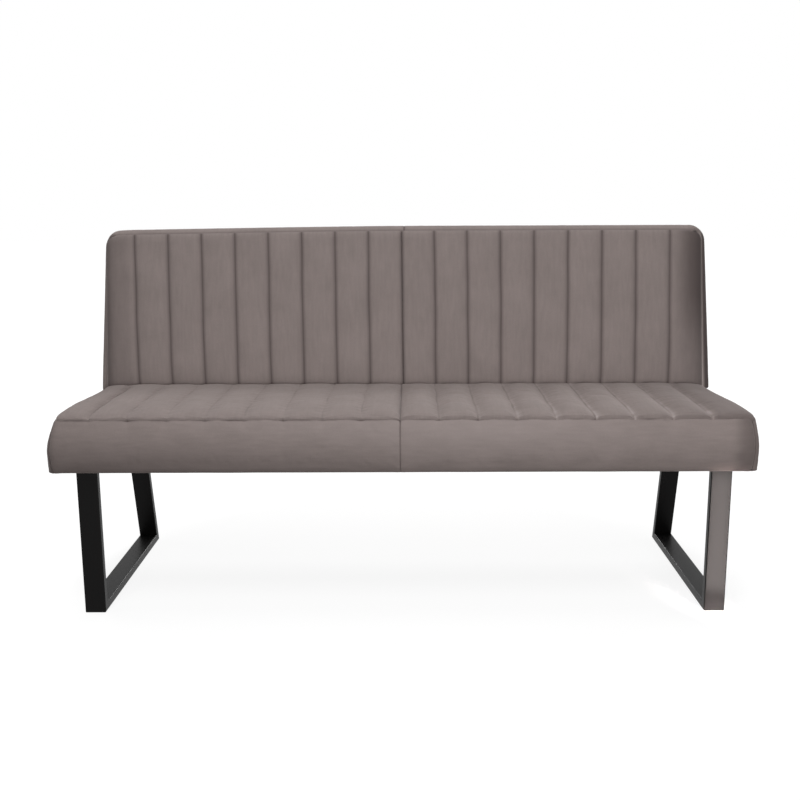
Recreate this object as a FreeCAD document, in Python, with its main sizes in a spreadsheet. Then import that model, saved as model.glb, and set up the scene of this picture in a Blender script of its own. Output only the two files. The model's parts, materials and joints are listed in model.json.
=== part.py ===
import FreeCAD, Part
import Sketcher
import math
import os
import re

# Upholstered dining bench: a channel-quilted seat and leaning back on two flat-tube sled legs.
# Millimetres. The origin is on the floor in the middle of the footprint, +Z is up, -Y is the front
# and +X is to the right of someone who faces the front.

SIZES = [
    ("seat_width", "1650", "seat and back, end to end"),
    ("seat_depth", "525", "seat block, front to rear"),
    ("back_ledge", "104", "face of the back to the seat's rear edge"),
    ("overall_depth", "601", "seat front to the heel of the floor rails"),
    ("underside_height", "365", "floor to the underside of the seat"),
    ("band_height", "124", "front and end bands, lower edge to the seam round the top"),
    ("cover_thickness", "2", "velvet with its backing"),
    ("dust_thickness", "1", "cloth under the seat"),
    ("dust_inset", "6", "dust cover edge to the seat edge"),
    ("quilt_thickness", "3", "quilted panel at its seams"),
    ("channel_pitch", "90", "from one sewn channel to the next"),
    ("edge_channel", "20", "least flat between the last seam and an upper corner of the back"),
    ("channel_rise", "8", "swell of a channel above its seams"),
    ("front_roll", "28", "rounding of the seat's front top edge"),
    ("corner_radius", "20", "upright front corners of the seat"),
    ("end_draw", "23", "how far the ends lean in at the seam"),
    ("end_upright", "70", "upright part of each end"),
    ("hem_draw", "3", "how far the lower edge turns in"),
    ("hem_rise", "10", "height of the turned lower edge"),
    ("end_seam_inset", "11", "corner seam to the end of the seat"),
    ("rear_round", "6", "rounding of the seat's rear edges"),
    ("ledge_slope", "14", "dip of the seat in front of the back"),
    ("ledge_gap", "0.5", "dip's end to the face of the back"),
    ("side_pad", "12", "foam over the front and end rails"),
    ("rear_pad", "6", "foam over the rear rail"),
    ("rail_thickness", "25", "seat frame rails"),
    ("rail_height", "77", "seat frame rails"),
    ("cross_rail_width", "70", "flat rail over each leg"),
    ("cross_rail_thickness", "30", "flat rail over each leg"),
    ("middle_rail_drop", "12", "middle rail below the frame's top"),
    ("block_leg", "60", "corner block along each rail"),
    ("block_height", "40", "corner block"),
    ("spring_count", "12", "sinuous springs"),
    ("outer_bay_count", "1", "springs between an end of the frame and the outer bracket"),
    ("inner_bay_count", "4", "springs between an end of the frame and the inner bracket"),
    ("spring_width", "50", "across a spring's loops"),
    ("spring_turns", "20", "half loops in a spring"),
    ("wire_diameter", "3.5", "spring wire"),
    ("wire_clearance", "0.2", "wire to its clip and to the felt"),
    ("clip_width", "20", "along the wire"),
    ("clip_depth", "10", "across the wire"),
    ("clip_base", "1.2", "clip under the wire"),
    ("clip_inset", "8", "clip's middle to the rail's inner edge"),
    ("felt_thickness", "3", "felt over the springs"),
    ("felt_inset", "1", "felt edge to the frame"),
    ("leg_inset", "48", "end of the seat to the outer face of a leg"),
    ("tube_width", "50", "leg tube, seen from the front"),
    ("tube_depth", "20", "leg tube, seen from the end"),
    ("tube_wall", "2", "leg tube"),
    ("tube_corner", "2.5", "rounding of the tube's edges"),
    ("front_post_setback", "44", "seat front to the front post"),
    ("rear_post_setback", "21", "seat's rear edge to the rear of the rear post, at the seat"),
    ("glide_thickness", "2", "floor glide"),
    ("glide_diameter", "22", "floor glide"),
    ("glide_inset", "40", "glide's middle to the end of the floor rail"),
    ("plate_width", "62", "leg mounting plate"),
    ("plate_thickness", "5", "leg mounting plate"),
    ("plate_overhang", "6", "plate beyond the posts"),
    ("plate_corner", "6", "rounding of the plate's corners"),
    ("leg_bolt_count", "4", "bolts in each leg"),
    ("leg_bolt_inset", "35", "first bolt to the post"),
    ("bolt_diameter", "8", "leg bolts and bracket screws"),
    ("bolt_clearance", "0.5", "bolt to the side of its hole"),
    ("head_radius", "7.5", "hexagon head, to its corners"),
    ("head_height", "5.3", "hexagon head"),
    ("washer_radius", "8", "leg bolt washer"),
    ("washer_thickness", "1.6", "leg bolt washer"),
    ("tee_flange_radius", "11", "tee nut flange"),
    ("tee_flange_thickness", "1.5", "tee nut flange"),
    ("tee_barrel_radius", "5.2", "tee nut barrel"),
    ("tee_barrel_length", "11", "tee nut barrel"),
    ("tee_clearance", "0.1", "tee nut barrel to its hole, and its bore to the bolt"),
    ("back_height", "434", "back along its slope, from the seat"),
    ("back_lean", "12", "lean of the back, degrees"),
    ("back_taper", "10", "back narrower at its top, each end"),
    ("back_crown", "5", "bow of the back's face over its height"),
    ("back_round", "24", "rounding of the back's top edges"),
    ("back_corner", "40", "upper corners of the back, seen from the front"),
    ("back_side_draw", "24", "front panel's seam to the end of the back"),
    ("back_side_depth", "42", "depth at which the end is widest"),
    ("back_rear_chamfer", "8", "rear edges of the back"),
    ("back_skirt", "10", "back form below the seat line before it is trimmed"),
    ("frame_thickness", "20", "wood of the back frame"),
    ("frame_rail_height", "60", "top and bottom rails of the back frame"),
    ("frame_stile_width", "50", "stiles and posts of the back frame"),
    ("frame_end_pad", "18", "frame to the end of the back at its top"),
    ("frame_rear_pad", "1", "wadding behind the back frame"),
    ("board_thickness", "3", "hardboard facing"),
    ("bracket_width", "40", "back bracket"),
    ("bracket_thickness", "5", "back bracket"),
    ("bracket_drop", "108", "bracket below the seat line"),
    ("bracket_rise", "140", "bracket above the seat line"),
    ("bracket_clearance", "1", "bracket to the slot round it"),
    ("screw_length", "20", "coach screw under its head"),
    ("screw_tip_room", "1", "hole beyond the screw's tip"),
    ("lower_screw_drop", "63", "first bracket screw below the seat line"),
    ("lower_screw_step", "25", "first to second screw in the seat rail"),
    ("upper_screw_rise", "50", "first bracket screw above the seat line"),
    ("upper_screw_step", "60", "first to second screw in the back"),
]

doc = FreeCAD.newDocument("dining_bench")
sheet = doc.addObject("Spreadsheet::Sheet", "Sheet")
for row, (alias, number, meaning) in enumerate(SIZES, start=1):
    sheet.set(f"A{row}", alias)
    sheet.set(f"B{row}", number)
    sheet.set(f"C{row}", meaning)
    sheet.setAlias(f"B{row}", alias)
doc.recompute()

ALIASES = {alias for alias, number, meaning in SIZES}
NODES = []


# Helpers that tie the document's objects to the sheet

def formula(text):
    """A formula in plain words, with every word that is a size pointed at the sheet."""
    return re.sub(r"[a-z_]+", lambda word: ("Sheet." if word[0] in ALIASES else "") + word[0], str(text))


def value(text):
    """The number that a formula gives now."""
    return float(sheet.evalExpression(formula(text)))


def bind(piece, sizes):
    """Ties properties of a piece to formulas."""
    for name, text in sizes.items():
        piece.setExpression(name, formula(text))


def place(piece, x="0", y="0", z="0", tilt="0"):
    """Puts a piece at a point, turned about the X axis by a tilt in degrees."""
    piece.Placement = FreeCAD.Placement(
        FreeCAD.Vector(value(x), value(y), value(z)), FreeCAD.Rotation(FreeCAD.Vector(1, 0, 0), value(tilt))
    )
    bind(piece, {"Placement.Base.x": x, "Placement.Base.y": y, "Placement.Base.z": z})
    if tilt != "0":
        bind(piece, {"Placement.Rotation.Angle": tilt})
    return piece


def lean(piece, x="0", depth="0", rise="0", tilt="0"):
    """Puts a piece in the leaning back: a depth behind its face and a rise up its slope."""
    y = f"{BACK_FACE} + ({depth}) * cos(back_lean) + ({rise}) * sin(back_lean)"
    z = f"{LEDGE} - ({depth}) * sin(back_lean) + ({rise}) * cos(back_lean)"
    return place(piece, x, y, z, f"({tilt}) - back_lean")


def box(label, length, width, height):
    """A plain block."""
    block = doc.addObject("Part::Box", label)
    bind(block, {"Length": length, "Width": width, "Height": height})
    return block


def cylinder(label, radius, height):
    """A round bar that stands on its end."""
    bar = doc.addObject("Part::Cylinder", label)
    bind(bar, {"Radius": radius, "Height": height})
    return bar


def group(label, pieces):
    """Several separate pieces kept together."""
    together = doc.addObject("Part::Compound", label)
    together.Links = pieces
    return together


def cut(label, base, tools):
    """A piece with other shapes taken out of it."""
    cutting = doc.addObject("Part::Cut", label)
    cutting.Base = base
    cutting.Tool = tools[0] if len(tools) == 1 else group(label + "_tools", tools)
    return cutting


def common(label, first, second):
    """What two shapes share."""
    shared = doc.addObject("Part::Common", label)
    shared.Base = first
    shared.Tool = second
    return shared


def fuse(label, first, second):
    """Two shapes made one."""
    joined = doc.addObject("Part::Fuse", label)
    joined.Base = first
    joined.Tool = second
    return joined


def copies(label, master, places):
    """The same small part at several places, as one group."""
    links = []
    for number, spot in enumerate(places, start=1):
        link = doc.addObject("App::Link", f"{label}_{number}")
        link.LinkedObject = master
        links.append(place(link, *spot))
    return group(label, links)


def node(piece):
    """Marks a finished sub-part, which is kept under its label."""
    NODES.append(piece)
    return piece


def sketch_on(body, name, plane, corners, circles=()):
    """A closed outline of straight edges, with round holes, on one of a body's own planes."""
    sketch = body.newObject("Sketcher::SketchObject", name)
    support = [item for item in body.Origin.OriginFeatures if item.Role == plane][0]
    sketch.AttachmentSupport = [(support, "")]
    sketch.MapMode = "FlatFace"
    points = [FreeCAD.Vector(value(across), value(up), 0) for across, up in corners]
    count = len(points)
    for index, start in enumerate(points):
        sketch.addGeometry(Part.LineSegment(start, points[(index + 1) % count]), False)
    for index in range(count):
        sketch.addConstraint(Sketcher.Constraint("Coincident", index, 2, (index + 1) % count, 1))
    spots = [(index, 1, corner) for index, corner in enumerate(corners)]
    for across, up, radius in circles:
        centre = FreeCAD.Vector(value(across), value(up), 0)
        ring = sketch.addGeometry(Part.Circle(centre, FreeCAD.Vector(0, 0, 1), value(radius)), False)
        size = sketch.addConstraint(Sketcher.Constraint("Radius", ring, value(radius)))
        bind(sketch, {f"Constraints[{size}]": radius})
        spots.append((ring, 3, (across, up)))
    for edge, end, (across, up) in spots:
        for kind, text in (("DistanceX", across), ("DistanceY", up)):
            number = sketch.addConstraint(Sketcher.Constraint(kind, -1, 1, edge, end, value(text)))
            bind(sketch, {f"Constraints[{number}]": text})
    return sketch


def pad(body, name, sketch, length, both_ways=False):
    """Thickens an outline into a solid."""
    solid = body.newObject("PartDesign::Pad", name)
    solid.Profile = sketch
    solid.Midplane = both_ways
    bind(solid, {"Length": length})
    return solid


# Places shared by several pieces

FRONT = "(-overall_depth / 2)"
HEEL = "(overall_depth / 2)"
REAR = f"({FRONT} + seat_depth)"
BACK_FACE = f"({REAR} - back_ledge)"
END = "(seat_width / 2)"
BLOCK_BOTTOM = "(underside_height + dust_thickness)"
RAIL_BOTTOM = f"({BLOCK_BOTTOM} + cover_thickness)"
RAIL_TOP = f"({RAIL_BOTTOM} + rail_height)"
SEAM = f"({BLOCK_BOTTOM} + band_height)"
LEDGE = f"({SEAM} + quilt_thickness)"
FRAME_FRONT = f"({FRONT} + cover_thickness + side_pad)"
FRAME_REAR = f"({REAR} - cover_thickness - rear_pad)"
FRAME_END = f"({END} - cover_thickness - side_pad)"
INSIDE_FRONT = f"({FRAME_FRONT} + rail_thickness)"
INSIDE_REAR = f"({FRAME_REAR} - rail_thickness)"
INSIDE_END = f"({FRAME_END} - rail_thickness)"
INSIDE_DEPTH = f"({INSIDE_REAR} - {INSIDE_FRONT})"
LEG_MIDDLE = f"({END} - leg_inset - tube_width / 2)"
HOLE = "(bolt_diameter / 2 + bolt_clearance)"
SPRING_END = f"({INSIDE_END} - cross_rail_width)"
BAY = f"(2 * {SPRING_END} / spring_count)"
OUTER_SPOT = f"({SPRING_END} - outer_bay_count * {BAY})"
INNER_SPOT = f"({SPRING_END} - inner_bay_count * {BAY})"
BRACKET_SPOTS = [f"-{OUTER_SPOT}", f"-{INNER_SPOT}", INNER_SPOT, OUTER_SPOT]
BRACKET_NAMES = ["outer_left", "inner_left", "inner_right", "outer_right"]
SIDES = [("left", "-1"), ("right", "1")]

# Two sled legs: a front post, a floor rail and a raked rear post, mitred flat tube, and a plate on top

POST_FRONT = f"({FRONT} + front_post_setback)"
POST_TOP = "(underside_height - plate_thickness)"
POST_REAR = f"({REAR} - rear_post_setback)"
RAKE = f"(({HEEL} - {POST_REAR}) / (underside_height - glide_thickness))"
SLANT = f"(sqrt(1 + {RAKE} * {RAKE}))"


def toe(skin):
    """The front mitre, a skin's depth in from the outside of the tube."""
    return f"{POST_FRONT} + {skin}", f"glide_thickness + {skin}"


def heel(skin):
    """The rear mitre, a skin's depth in from the outside of the tube."""
    return f"{HEEL} - {skin} * ({SLANT} + {RAKE})", f"glide_thickness + {skin}"


def front_head(skin):
    """The front post's top."""
    return f"{POST_FRONT} + {skin}", POST_TOP


def rear_head(skin):
    """The rear post's top."""
    return f"{HEEL} - {skin} * {SLANT} - {RAKE} * ({POST_TOP} - glide_thickness)", POST_TOP


def tube(label, side, low, high):
    """One hollow length of leg tube between two cuts."""
    body = doc.addObject("PartDesign::Body", label)
    place(body, f"{side} * {LEG_MIDDLE}")
    outside = [low("0"), low("tube_depth"), high("tube_depth"), high("0")]
    inner = "(tube_depth - tube_wall)"
    inside = [low("tube_wall"), low(inner), high(inner), high("tube_wall")]
    outline = sketch_on(body, label + "_outline", "YZ_Plane", outside)
    bar = pad(body, label + "_bar", outline, "tube_width", True)
    doc.recompute()
    long_edges = [
        f"Edge{number}"
        for number, edge in enumerate(bar.Shape.Edges, start=1)
        if abs(edge.Vertexes[0].X - edge.Vertexes[-1].X) < 0.001 and edge.Length > 2 * value("tube_depth")
    ]
    rounding = body.newObject("PartDesign::Fillet", label + "_rounding")
    rounding.Base = (bar, long_edges)
    bind(rounding, {"Radius": "tube_corner"})
    bore = body.newObject("PartDesign::Pocket", label + "_bore")
    bore.Profile = sketch_on(body, label + "_bore_outline", "YZ_Plane", inside)
    bore.Midplane = True
    bind(bore, {"Length": "tube_width - 2 * tube_wall"})
    return node(body)


def bolt_rows():
    """Depths of the bolts along a leg's plate."""
    first = f"({POST_FRONT} + tube_depth + leg_bolt_inset)"
    last = f"({POST_REAR} - tube_depth - leg_bolt_inset)"
    count = int(value("leg_bolt_count"))
    return [f"({first} + ({last} - {first}) * {row} / (leg_bolt_count - 1))" for row in range(count)]


def mounting_plate(label, side):
    """The drilled strip that joins a leg's posts under the seat."""
    body = doc.addObject("PartDesign::Body", label)
    place(body, f"{side} * {LEG_MIDDLE}", "0", POST_TOP)
    near = f"{POST_FRONT} - plate_overhang"
    far = f"{POST_REAR} + plate_overhang"
    left = "-plate_width / 2"
    right = "plate_width / 2"
    corners = [(left, near), (right, near), (right, far), (left, far)]
    holes = [("0", row, HOLE) for row in bolt_rows()]
    outline = sketch_on(body, label + "_outline", "XY_Plane", corners, holes)
    strip = pad(body, label + "_strip", outline, "plate_thickness")
    doc.recompute()
    upright = [
        f"Edge{number}"
        for number, edge in enumerate(strip.Shape.Edges, start=1)
        if isinstance(edge.Curve, Part.Line) and abs(edge.Vertexes[0].Z - edge.Vertexes[-1].Z) > 0.001
    ]
    rounding = body.newObject("PartDesign::Fillet", label + "_rounding")
    rounding.Base = (strip, upright)
    bind(rounding, {"Radius": "plate_corner"})
    return node(body)


for name, side in SIDES:
    tube(f"leg_{name}_front_post", side, toe, front_head)
    tube(f"leg_{name}_rear_post", side, heel, rear_head)
    tube(f"leg_{name}_floor_rail", side, toe, heel)
    mounting_plate(f"leg_{name}_mounting_plate", side)

glide = cylinder("glide", "glide_diameter / 2", "glide_thickness")
glide_rows = [f"{POST_FRONT} + glide_inset", f"{HEEL} - glide_inset"]
glide_places = [(f"{side} * {LEG_MIDDLE}", row) for name, side in SIDES for row in glide_rows]
node(copies("floor_glides", glide, glide_places))

# Leg bolts with washers from below, and tee nuts on top of the cross rails

CROSS_TOP = f"({BLOCK_BOTTOM} + cross_rail_thickness)"
BOLT_LENGTH = "(plate_thickness + dust_thickness + cross_rail_thickness + washer_thickness)"
bolt_places = [(f"{side} * {LEG_MIDDLE}", row) for name, side in SIDES for row in bolt_rows()]


def hexagon_bolt(label, length):
    """A hexagon head below a plain shank."""
    head = doc.addObject("Part::Prism", label + "_head")
    head.Polygon = 6
    bind(head, {"Circumradius": "head_radius", "Height": "head_height"})
    place(head, "0", "0", "-head_height")
    return fuse(label, head, cylinder(label + "_shank", "bolt_diameter / 2", length))


leg_bolt = hexagon_bolt("leg_bolt", BOLT_LENGTH)
bolt_seat = f"{POST_TOP} - washer_thickness"
node(copies("leg_bolts", leg_bolt, [(x, y, bolt_seat) for x, y in bolt_places]))

washer_disc = cylinder("washer_disc", "washer_radius", "washer_thickness")
washer_hole = cylinder("washer_hole", HOLE, "washer_thickness")
washer = cut("washer", washer_disc, [washer_hole])
node(copies("leg_washers", washer, [(x, y, bolt_seat) for x, y in bolt_places]))

tee_flange = cylinder("tee_flange", "tee_flange_radius", "tee_flange_thickness")
tee_barrel = cylinder("tee_barrel", "tee_barrel_radius", "tee_barrel_length")
place(tee_barrel, "0", "0", "-tee_barrel_length")
tee_bore = cylinder("tee_bore", "bolt_diameter / 2 + tee_clearance", "tee_barrel_length + tee_flange_thickness")
place(tee_bore, "0", "0", "-tee_barrel_length")
tee_nut = cut("tee_nut", fuse("tee_blank", tee_flange, tee_barrel), [tee_bore])
node(copies("leg_tee_nuts", tee_nut, [(x, y, CROSS_TOP) for x, y in bolt_places]))

# Wooden seat frame

SCREW_RADIUS = "(bolt_diameter / 2 + tee_clearance)"
SCREW_DEPTH = "(screw_length - bracket_thickness + screw_tip_room)"
LOWER_SCREWS = ["lower_screw_drop", "lower_screw_drop + lower_screw_step"]

node(place(box("seat_front_rail", f"2 * {FRAME_END}", "rail_thickness", "rail_height"),
           f"-{FRAME_END}", FRAME_FRONT, RAIL_BOTTOM))

rear_board = box("rear_board", f"2 * {FRAME_END}", "rail_thickness", "rail_height")
place(rear_board, f"-{FRAME_END}", INSIDE_REAR, RAIL_BOTTOM)
rear_holes = []
for spot in BRACKET_SPOTS:
    for drop in LOWER_SCREWS:
        hole = cylinder("rear_rail_hole", SCREW_RADIUS, SCREW_DEPTH)
        rear_holes.append(place(hole, spot, INSIDE_REAR, f"{LEDGE} - ({drop})", "-90"))
node(cut("seat_rear_rail", rear_board, rear_holes))

for name, side in SIDES:
    rail = box(f"seat_end_rail_{name}", "rail_thickness", INSIDE_DEPTH, "rail_height")
    middle = f"{side} * ({FRAME_END} + {INSIDE_END}) / 2"
    node(place(rail, f"{middle} - rail_thickness / 2", INSIDE_FRONT, RAIL_BOTTOM))

middle_rail = box("seat_middle_rail", "rail_thickness", INSIDE_DEPTH, "rail_height - middle_rail_drop")
node(place(middle_rail, "-rail_thickness / 2", INSIDE_FRONT, RAIL_BOTTOM))

for name, side in SIDES:
    body = doc.addObject("PartDesign::Body", f"seat_cross_rail_{name}")
    place(body, "0", "0", BLOCK_BOTTOM)
    outer = f"{side} * {INSIDE_END}"
    inner = f"{side} * ({INSIDE_END} - cross_rail_width)"
    corners = [(inner, INSIDE_FRONT), (outer, INSIDE_FRONT), (outer, INSIDE_REAR), (inner, INSIDE_REAR)]
    holes = [(f"{side} * {LEG_MIDDLE}", row, "tee_barrel_radius + tee_clearance") for row in bolt_rows()]
    outline = sketch_on(body, f"cross_rail_outline_{name}", "XY_Plane", corners, holes)
    pad(body, f"cross_rail_board_{name}", outline, "cross_rail_thickness")
    node(body)

blocks = []
for name, side in SIDES:
    for end, wall, inward in (("front", INSIDE_FRONT, "1"), ("rear", INSIDE_REAR, "-1")):
        block = doc.addObject("PartDesign::Body", f"corner_block_{name}_{end}")
        place(block, "0", "0", CROSS_TOP)
        reach = f"{side} * ({INSIDE_END} - block_leg)"
        corner = f"{side} * {INSIDE_END}"
        corners = [(corner, wall), (corner, f"{wall} + {inward} * block_leg"), (reach, wall)]
        outline = sketch_on(block, f"corner_outline_{name}_{end}", "XY_Plane", corners)
        pad(block, f"corner_wedge_{name}_{end}", outline, "block_height")
        blocks.append(block)
node(group("seat_corner_blocks", blocks))

# Sinuous springs across the frame, clipped to the front and rear rails, with felt over them

CLIP_FRONT = f"({INSIDE_FRONT} - clip_inset)"
CLIP_REAR = f"({INSIDE_REAR} + clip_inset)"
WIRE_LIFT = "(clip_base + wire_clearance + wire_diameter / 2)"
FELT_BOTTOM = f"({RAIL_TOP} + {WIRE_LIFT} + wire_diameter / 2 + wire_clearance)"
FELT_TOP = f"({FELT_BOTTOM} + felt_thickness)"


def sinuous_spring(label):
    """One zigzag spring: straight runs across, joined by half turns at alternate sides."""
    turns = int(value("spring_turns"))
    step = value(f"({CLIP_REAR} - {CLIP_FRONT}) / spring_turns")
    reach = value("spring_width") / 2 - step / 2 - value("wire_diameter") / 2
    edges = []
    for run in range(turns + 1):
        hand = 1 if run % 2 == 0 else -1
        start = FreeCAD.Vector(-hand * reach, run * step, 0)
        finish = FreeCAD.Vector(hand * reach, run * step, 0)
        edges.append(Part.LineSegment(start, finish).toShape())
        if run < turns:
            bulge = finish + FreeCAD.Vector(hand * step / 2, step / 2, 0)
            edges.append(Part.Arc(finish, bulge, finish + FreeCAD.Vector(0, step, 0)).toShape())
    ring = Part.Circle(FreeCAD.Vector(-reach, 0, 0), FreeCAD.Vector(1, 0, 0), value("wire_diameter / 2"))
    spring = doc.addObject("Part::Feature", label)
    spring.Shape = Part.Wire(edges).makePipeShell([Part.Wire([ring.toShape()])], True, False)
    return spring


springs = int(value("spring_count"))
spring_rows = [f"(({number} + 0.5) * {BAY} - {SPRING_END})" for number in range(springs)]
node(copies("seat_springs", sinuous_spring("spring"),
            [(x, CLIP_FRONT, f"{RAIL_TOP} + {WIRE_LIFT}") for x in spring_rows]))

CLIP_HEIGHT = f"({WIRE_LIFT} + wire_diameter / 2 + wire_clearance + clip_base)"
clip_block = box("clip_block", "clip_width", "clip_depth", CLIP_HEIGHT)
place(clip_block, "-clip_width / 2", "-clip_depth / 2")
clip_bore = cylinder("clip_bore", "wire_diameter / 2 + wire_clearance", "clip_width")
clip_bore.Placement = FreeCAD.Placement(FreeCAD.Vector(), FreeCAD.Rotation(FreeCAD.Vector(0, 1, 0), 90))
bind(clip_bore, {"Placement.Base.x": "-clip_width / 2", "Placement.Base.z": WIRE_LIFT})
spring_clip = cut("spring_clip", clip_block, [clip_bore])
clip_places = [(x, y, RAIL_TOP) for x in spring_rows for y in (CLIP_FRONT, CLIP_REAR)]
node(copies("spring_clips", spring_clip, clip_places))

FELT_END = f"({SPRING_END} - felt_inset)"
FELT_DEPTH = f"({INSIDE_DEPTH} - felt_inset - bracket_thickness - bracket_clearance)"
felt = box("spring_felt", f"2 * {FELT_END}", FELT_DEPTH, "felt_thickness")
node(place(felt, f"-{FELT_END}", f"{INSIDE_FRONT} + felt_inset", FELT_BOTTOM))

# Soft forms: slices of lines and arcs, joined into one skin

LAST_SEAM = f"({END} - back_taper - back_corner - back_side_draw - cover_thickness - edge_channel)"


def joined(edges_through):
    """A closed outline from its stretches, each of two points or of three for an arc."""
    edges = []
    for stretch in edges_through:
        if len(stretch) == 3:
            edges.append(Part.Arc(*stretch).toShape())
        else:
            edges.append(Part.LineSegment(*stretch).toShape())
    return Part.Wire(edges)


def swelling(draw, depth):
    """How far in and how deep the middle of a bulging edge lies, on the arc that leaves its side straight."""
    radius = (draw * draw + depth * depth) / (2 * draw)
    half_angle = math.asin(depth / radius) / 2
    return radius * (1 - math.cos(half_angle)), radius * math.sin(half_angle)


def channel_stops(edge):
    """The seams across a panel, and its two edges."""
    pitch = value("channel_pitch")
    each_side = math.floor(value(LAST_SEAM) / pitch)
    return [-edge] + [number * pitch for number in range(-each_side, each_side + 1)] + [edge]


def channels(edge, base, rise, point):
    """The row of channels from edge to edge, arcs that swell from their seams, straight where pressed flat."""
    stops = channel_stops(edge)
    row = []
    for start, finish in zip(stops, stops[1:]):
        middle = [point((start + finish) / 2, base + rise)] if abs(rise) > 0.01 else []
        row.append([point(start, base)] + middle + [point(finish, base)])
    return row


def rounded(radius, depth):
    """How far a rounded edge lies in, at a depth from its front."""
    short = max(radius - depth, 0)
    return radius - math.sqrt(max(radius * radius - short * short, 0))


def seat_slice(y, half, bottom, top, rise):
    """One slice of the seat from end to end, at a depth: hem, bulging ends and the channels on top."""
    draw = value("end_draw")
    shoulder = value(f"{BLOCK_BOTTOM} + end_upright")
    hem_in = value("hem_draw")
    hem_up = bottom + value("hem_rise")
    inward, upward = swelling(draw, top - shoulder)

    def at(x, z):
        return FreeCAD.Vector(x, y, z)

    top_row = channels(half - draw, top, rise, at)
    right_end = [at(half - draw, top), at(half - inward, shoulder + upward), at(half, shoulder)]
    left_end = [at(-half, shoulder), at(inward - half, shoulder + upward), at(draw - half, top)]
    lower = [
        [at(half, shoulder), at(half, hem_up)],
        [at(half, hem_up), at(half - hem_in, bottom)],
        [at(half - hem_in, bottom), at(hem_in - half, bottom)],
        [at(hem_in - half, bottom), at(-half, hem_up)],
        [at(-half, hem_up), at(-half, shoulder)],
    ]
    return joined(top_row + [right_end] + lower + [left_end])


def seat_form(label, skin, quilted):
    """The seat's whole outside, or the foam's when a skin's thickness is taken off."""
    front = value(FRONT) + skin
    rear = value(REAR) - skin
    bottom = value(BLOCK_BOTTOM) + skin
    half = value(END) - skin
    ledge = value(LEDGE)
    roll = value("front_roll")
    edge = value("rear_round")
    rise = value("channel_rise") if quilted else 0
    limit = ledge if quilted else value(SEAM)
    slices = []
    for angle in (90, 60, 30, 0):
        depth = roll * (1 - math.sin(math.radians(angle)))
        drop = roll * (1 - math.cos(math.radians(angle)))
        narrow = half - rounded(value("corner_radius"), depth)
        slices.append(seat_slice(front + depth, narrow, bottom, min(limit, ledge - drop - skin), rise))
    if quilted:
        dip = value(BACK_FACE) - value("ledge_gap")
        slices.append(seat_slice(dip - value("ledge_slope"), half, bottom, ledge, rise))
        slices.append(seat_slice(dip, half, bottom, ledge, 0))
    slices.append(seat_slice(rear - edge, half, bottom, limit, 0))
    slices.append(seat_slice(rear, half - edge, bottom, min(limit, ledge - skin) - edge, 0))
    form = doc.addObject("Part::Feature", label)
    form.Shape = Part.makeLoft(slices, True, True)
    return form


# Seat cover and seat foam

SEAM_END = f"({END} - end_seam_inset)"
TALL = "(seat_width / 2)"
seat_outside = seat_form("seat_outside", 0, True)
seat_inside = seat_form("seat_inside", value("cover_thickness"), False)


def bracket_slots(label, low, high):
    """Openings that the back's brackets pass through, between two heights."""
    slots = []
    for name, spot in zip(BRACKET_NAMES, BRACKET_SPOTS):
        slot = box(f"{label}_{name}", "bracket_width + 2 * bracket_clearance",
                   "bracket_thickness + 2 * bracket_clearance", f"{high} - {low}")
        place(slot, f"{spot} - bracket_width / 2 - bracket_clearance",
              f"{INSIDE_REAR} - bracket_thickness - bracket_clearance", low)
        slots.append(slot)
    return slots


top_slots = bracket_slots("top_slot", RAIL_TOP, f"({LEDGE} + quilt_thickness)")
for name, start, slots in (("left", f"-{END}", top_slots[:2]), ("right", "0", top_slots[2:])):
    top_half = place(box(f"top_half_{name}", END, "seat_depth", TALL), start, FRONT, SEAM)
    top_panel = common(f"top_panel_{name}", seat_outside, top_half)
    node(cut(f"seat_cover_top_{name}", top_panel, slots))

hollow = place(box("seat_hollow", f"2 * {SEAM_END}", INSIDE_DEPTH, "cover_thickness"),
               f"-{SEAM_END}", INSIDE_FRONT, BLOCK_BOTTOM)
seat_skin = cut("seat_skin", seat_outside, [seat_inside, hollow])
HALF_DEPTH = "(seat_depth / 2)"
bands = [
    ("seat_cover_front_left", f"-{SEAM_END}", FRONT, SEAM_END, HALF_DEPTH),
    ("seat_cover_front_right", "0", FRONT, SEAM_END, HALF_DEPTH),
    ("seat_cover_rear", f"-{SEAM_END}", f"{FRONT} + {HALF_DEPTH}", f"2 * {SEAM_END}", HALF_DEPTH),
    ("seat_cover_end_left", f"-{END}", FRONT, "end_seam_inset", "seat_depth"),
    ("seat_cover_end_right", SEAM_END, FRONT, "end_seam_inset", "seat_depth"),
]
for label, x, y, length, width in bands:
    region = place(box(label + "_region", length, width, "band_height"), x, y, BLOCK_BOTTOM)
    node(common(label, seat_skin, region))

FRAME_DEPTH = f"({FRAME_REAR} - {FRAME_FRONT})"
frame_room = box("frame_room", f"2 * {FRAME_END}", FRAME_DEPTH, f"{RAIL_TOP} - {BLOCK_BOTTOM}")
place(frame_room, f"-{FRAME_END}", FRAME_FRONT, BLOCK_BOTTOM)
SPRING_DEPTH = f"({CLIP_REAR} - {CLIP_FRONT} + 2 * clip_inset)"
spring_room = box("spring_room", f"2 * {SPRING_END}", SPRING_DEPTH, f"{FELT_TOP} - {RAIL_TOP}")
place(spring_room, f"-{SPRING_END}", f"{CLIP_FRONT} - clip_inset", RAIL_TOP)
foam_block = cut("foam_block", seat_inside, [fuse("foam_room", frame_room, spring_room)])
node(cut("seat_foam", foam_block, top_slots))

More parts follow.
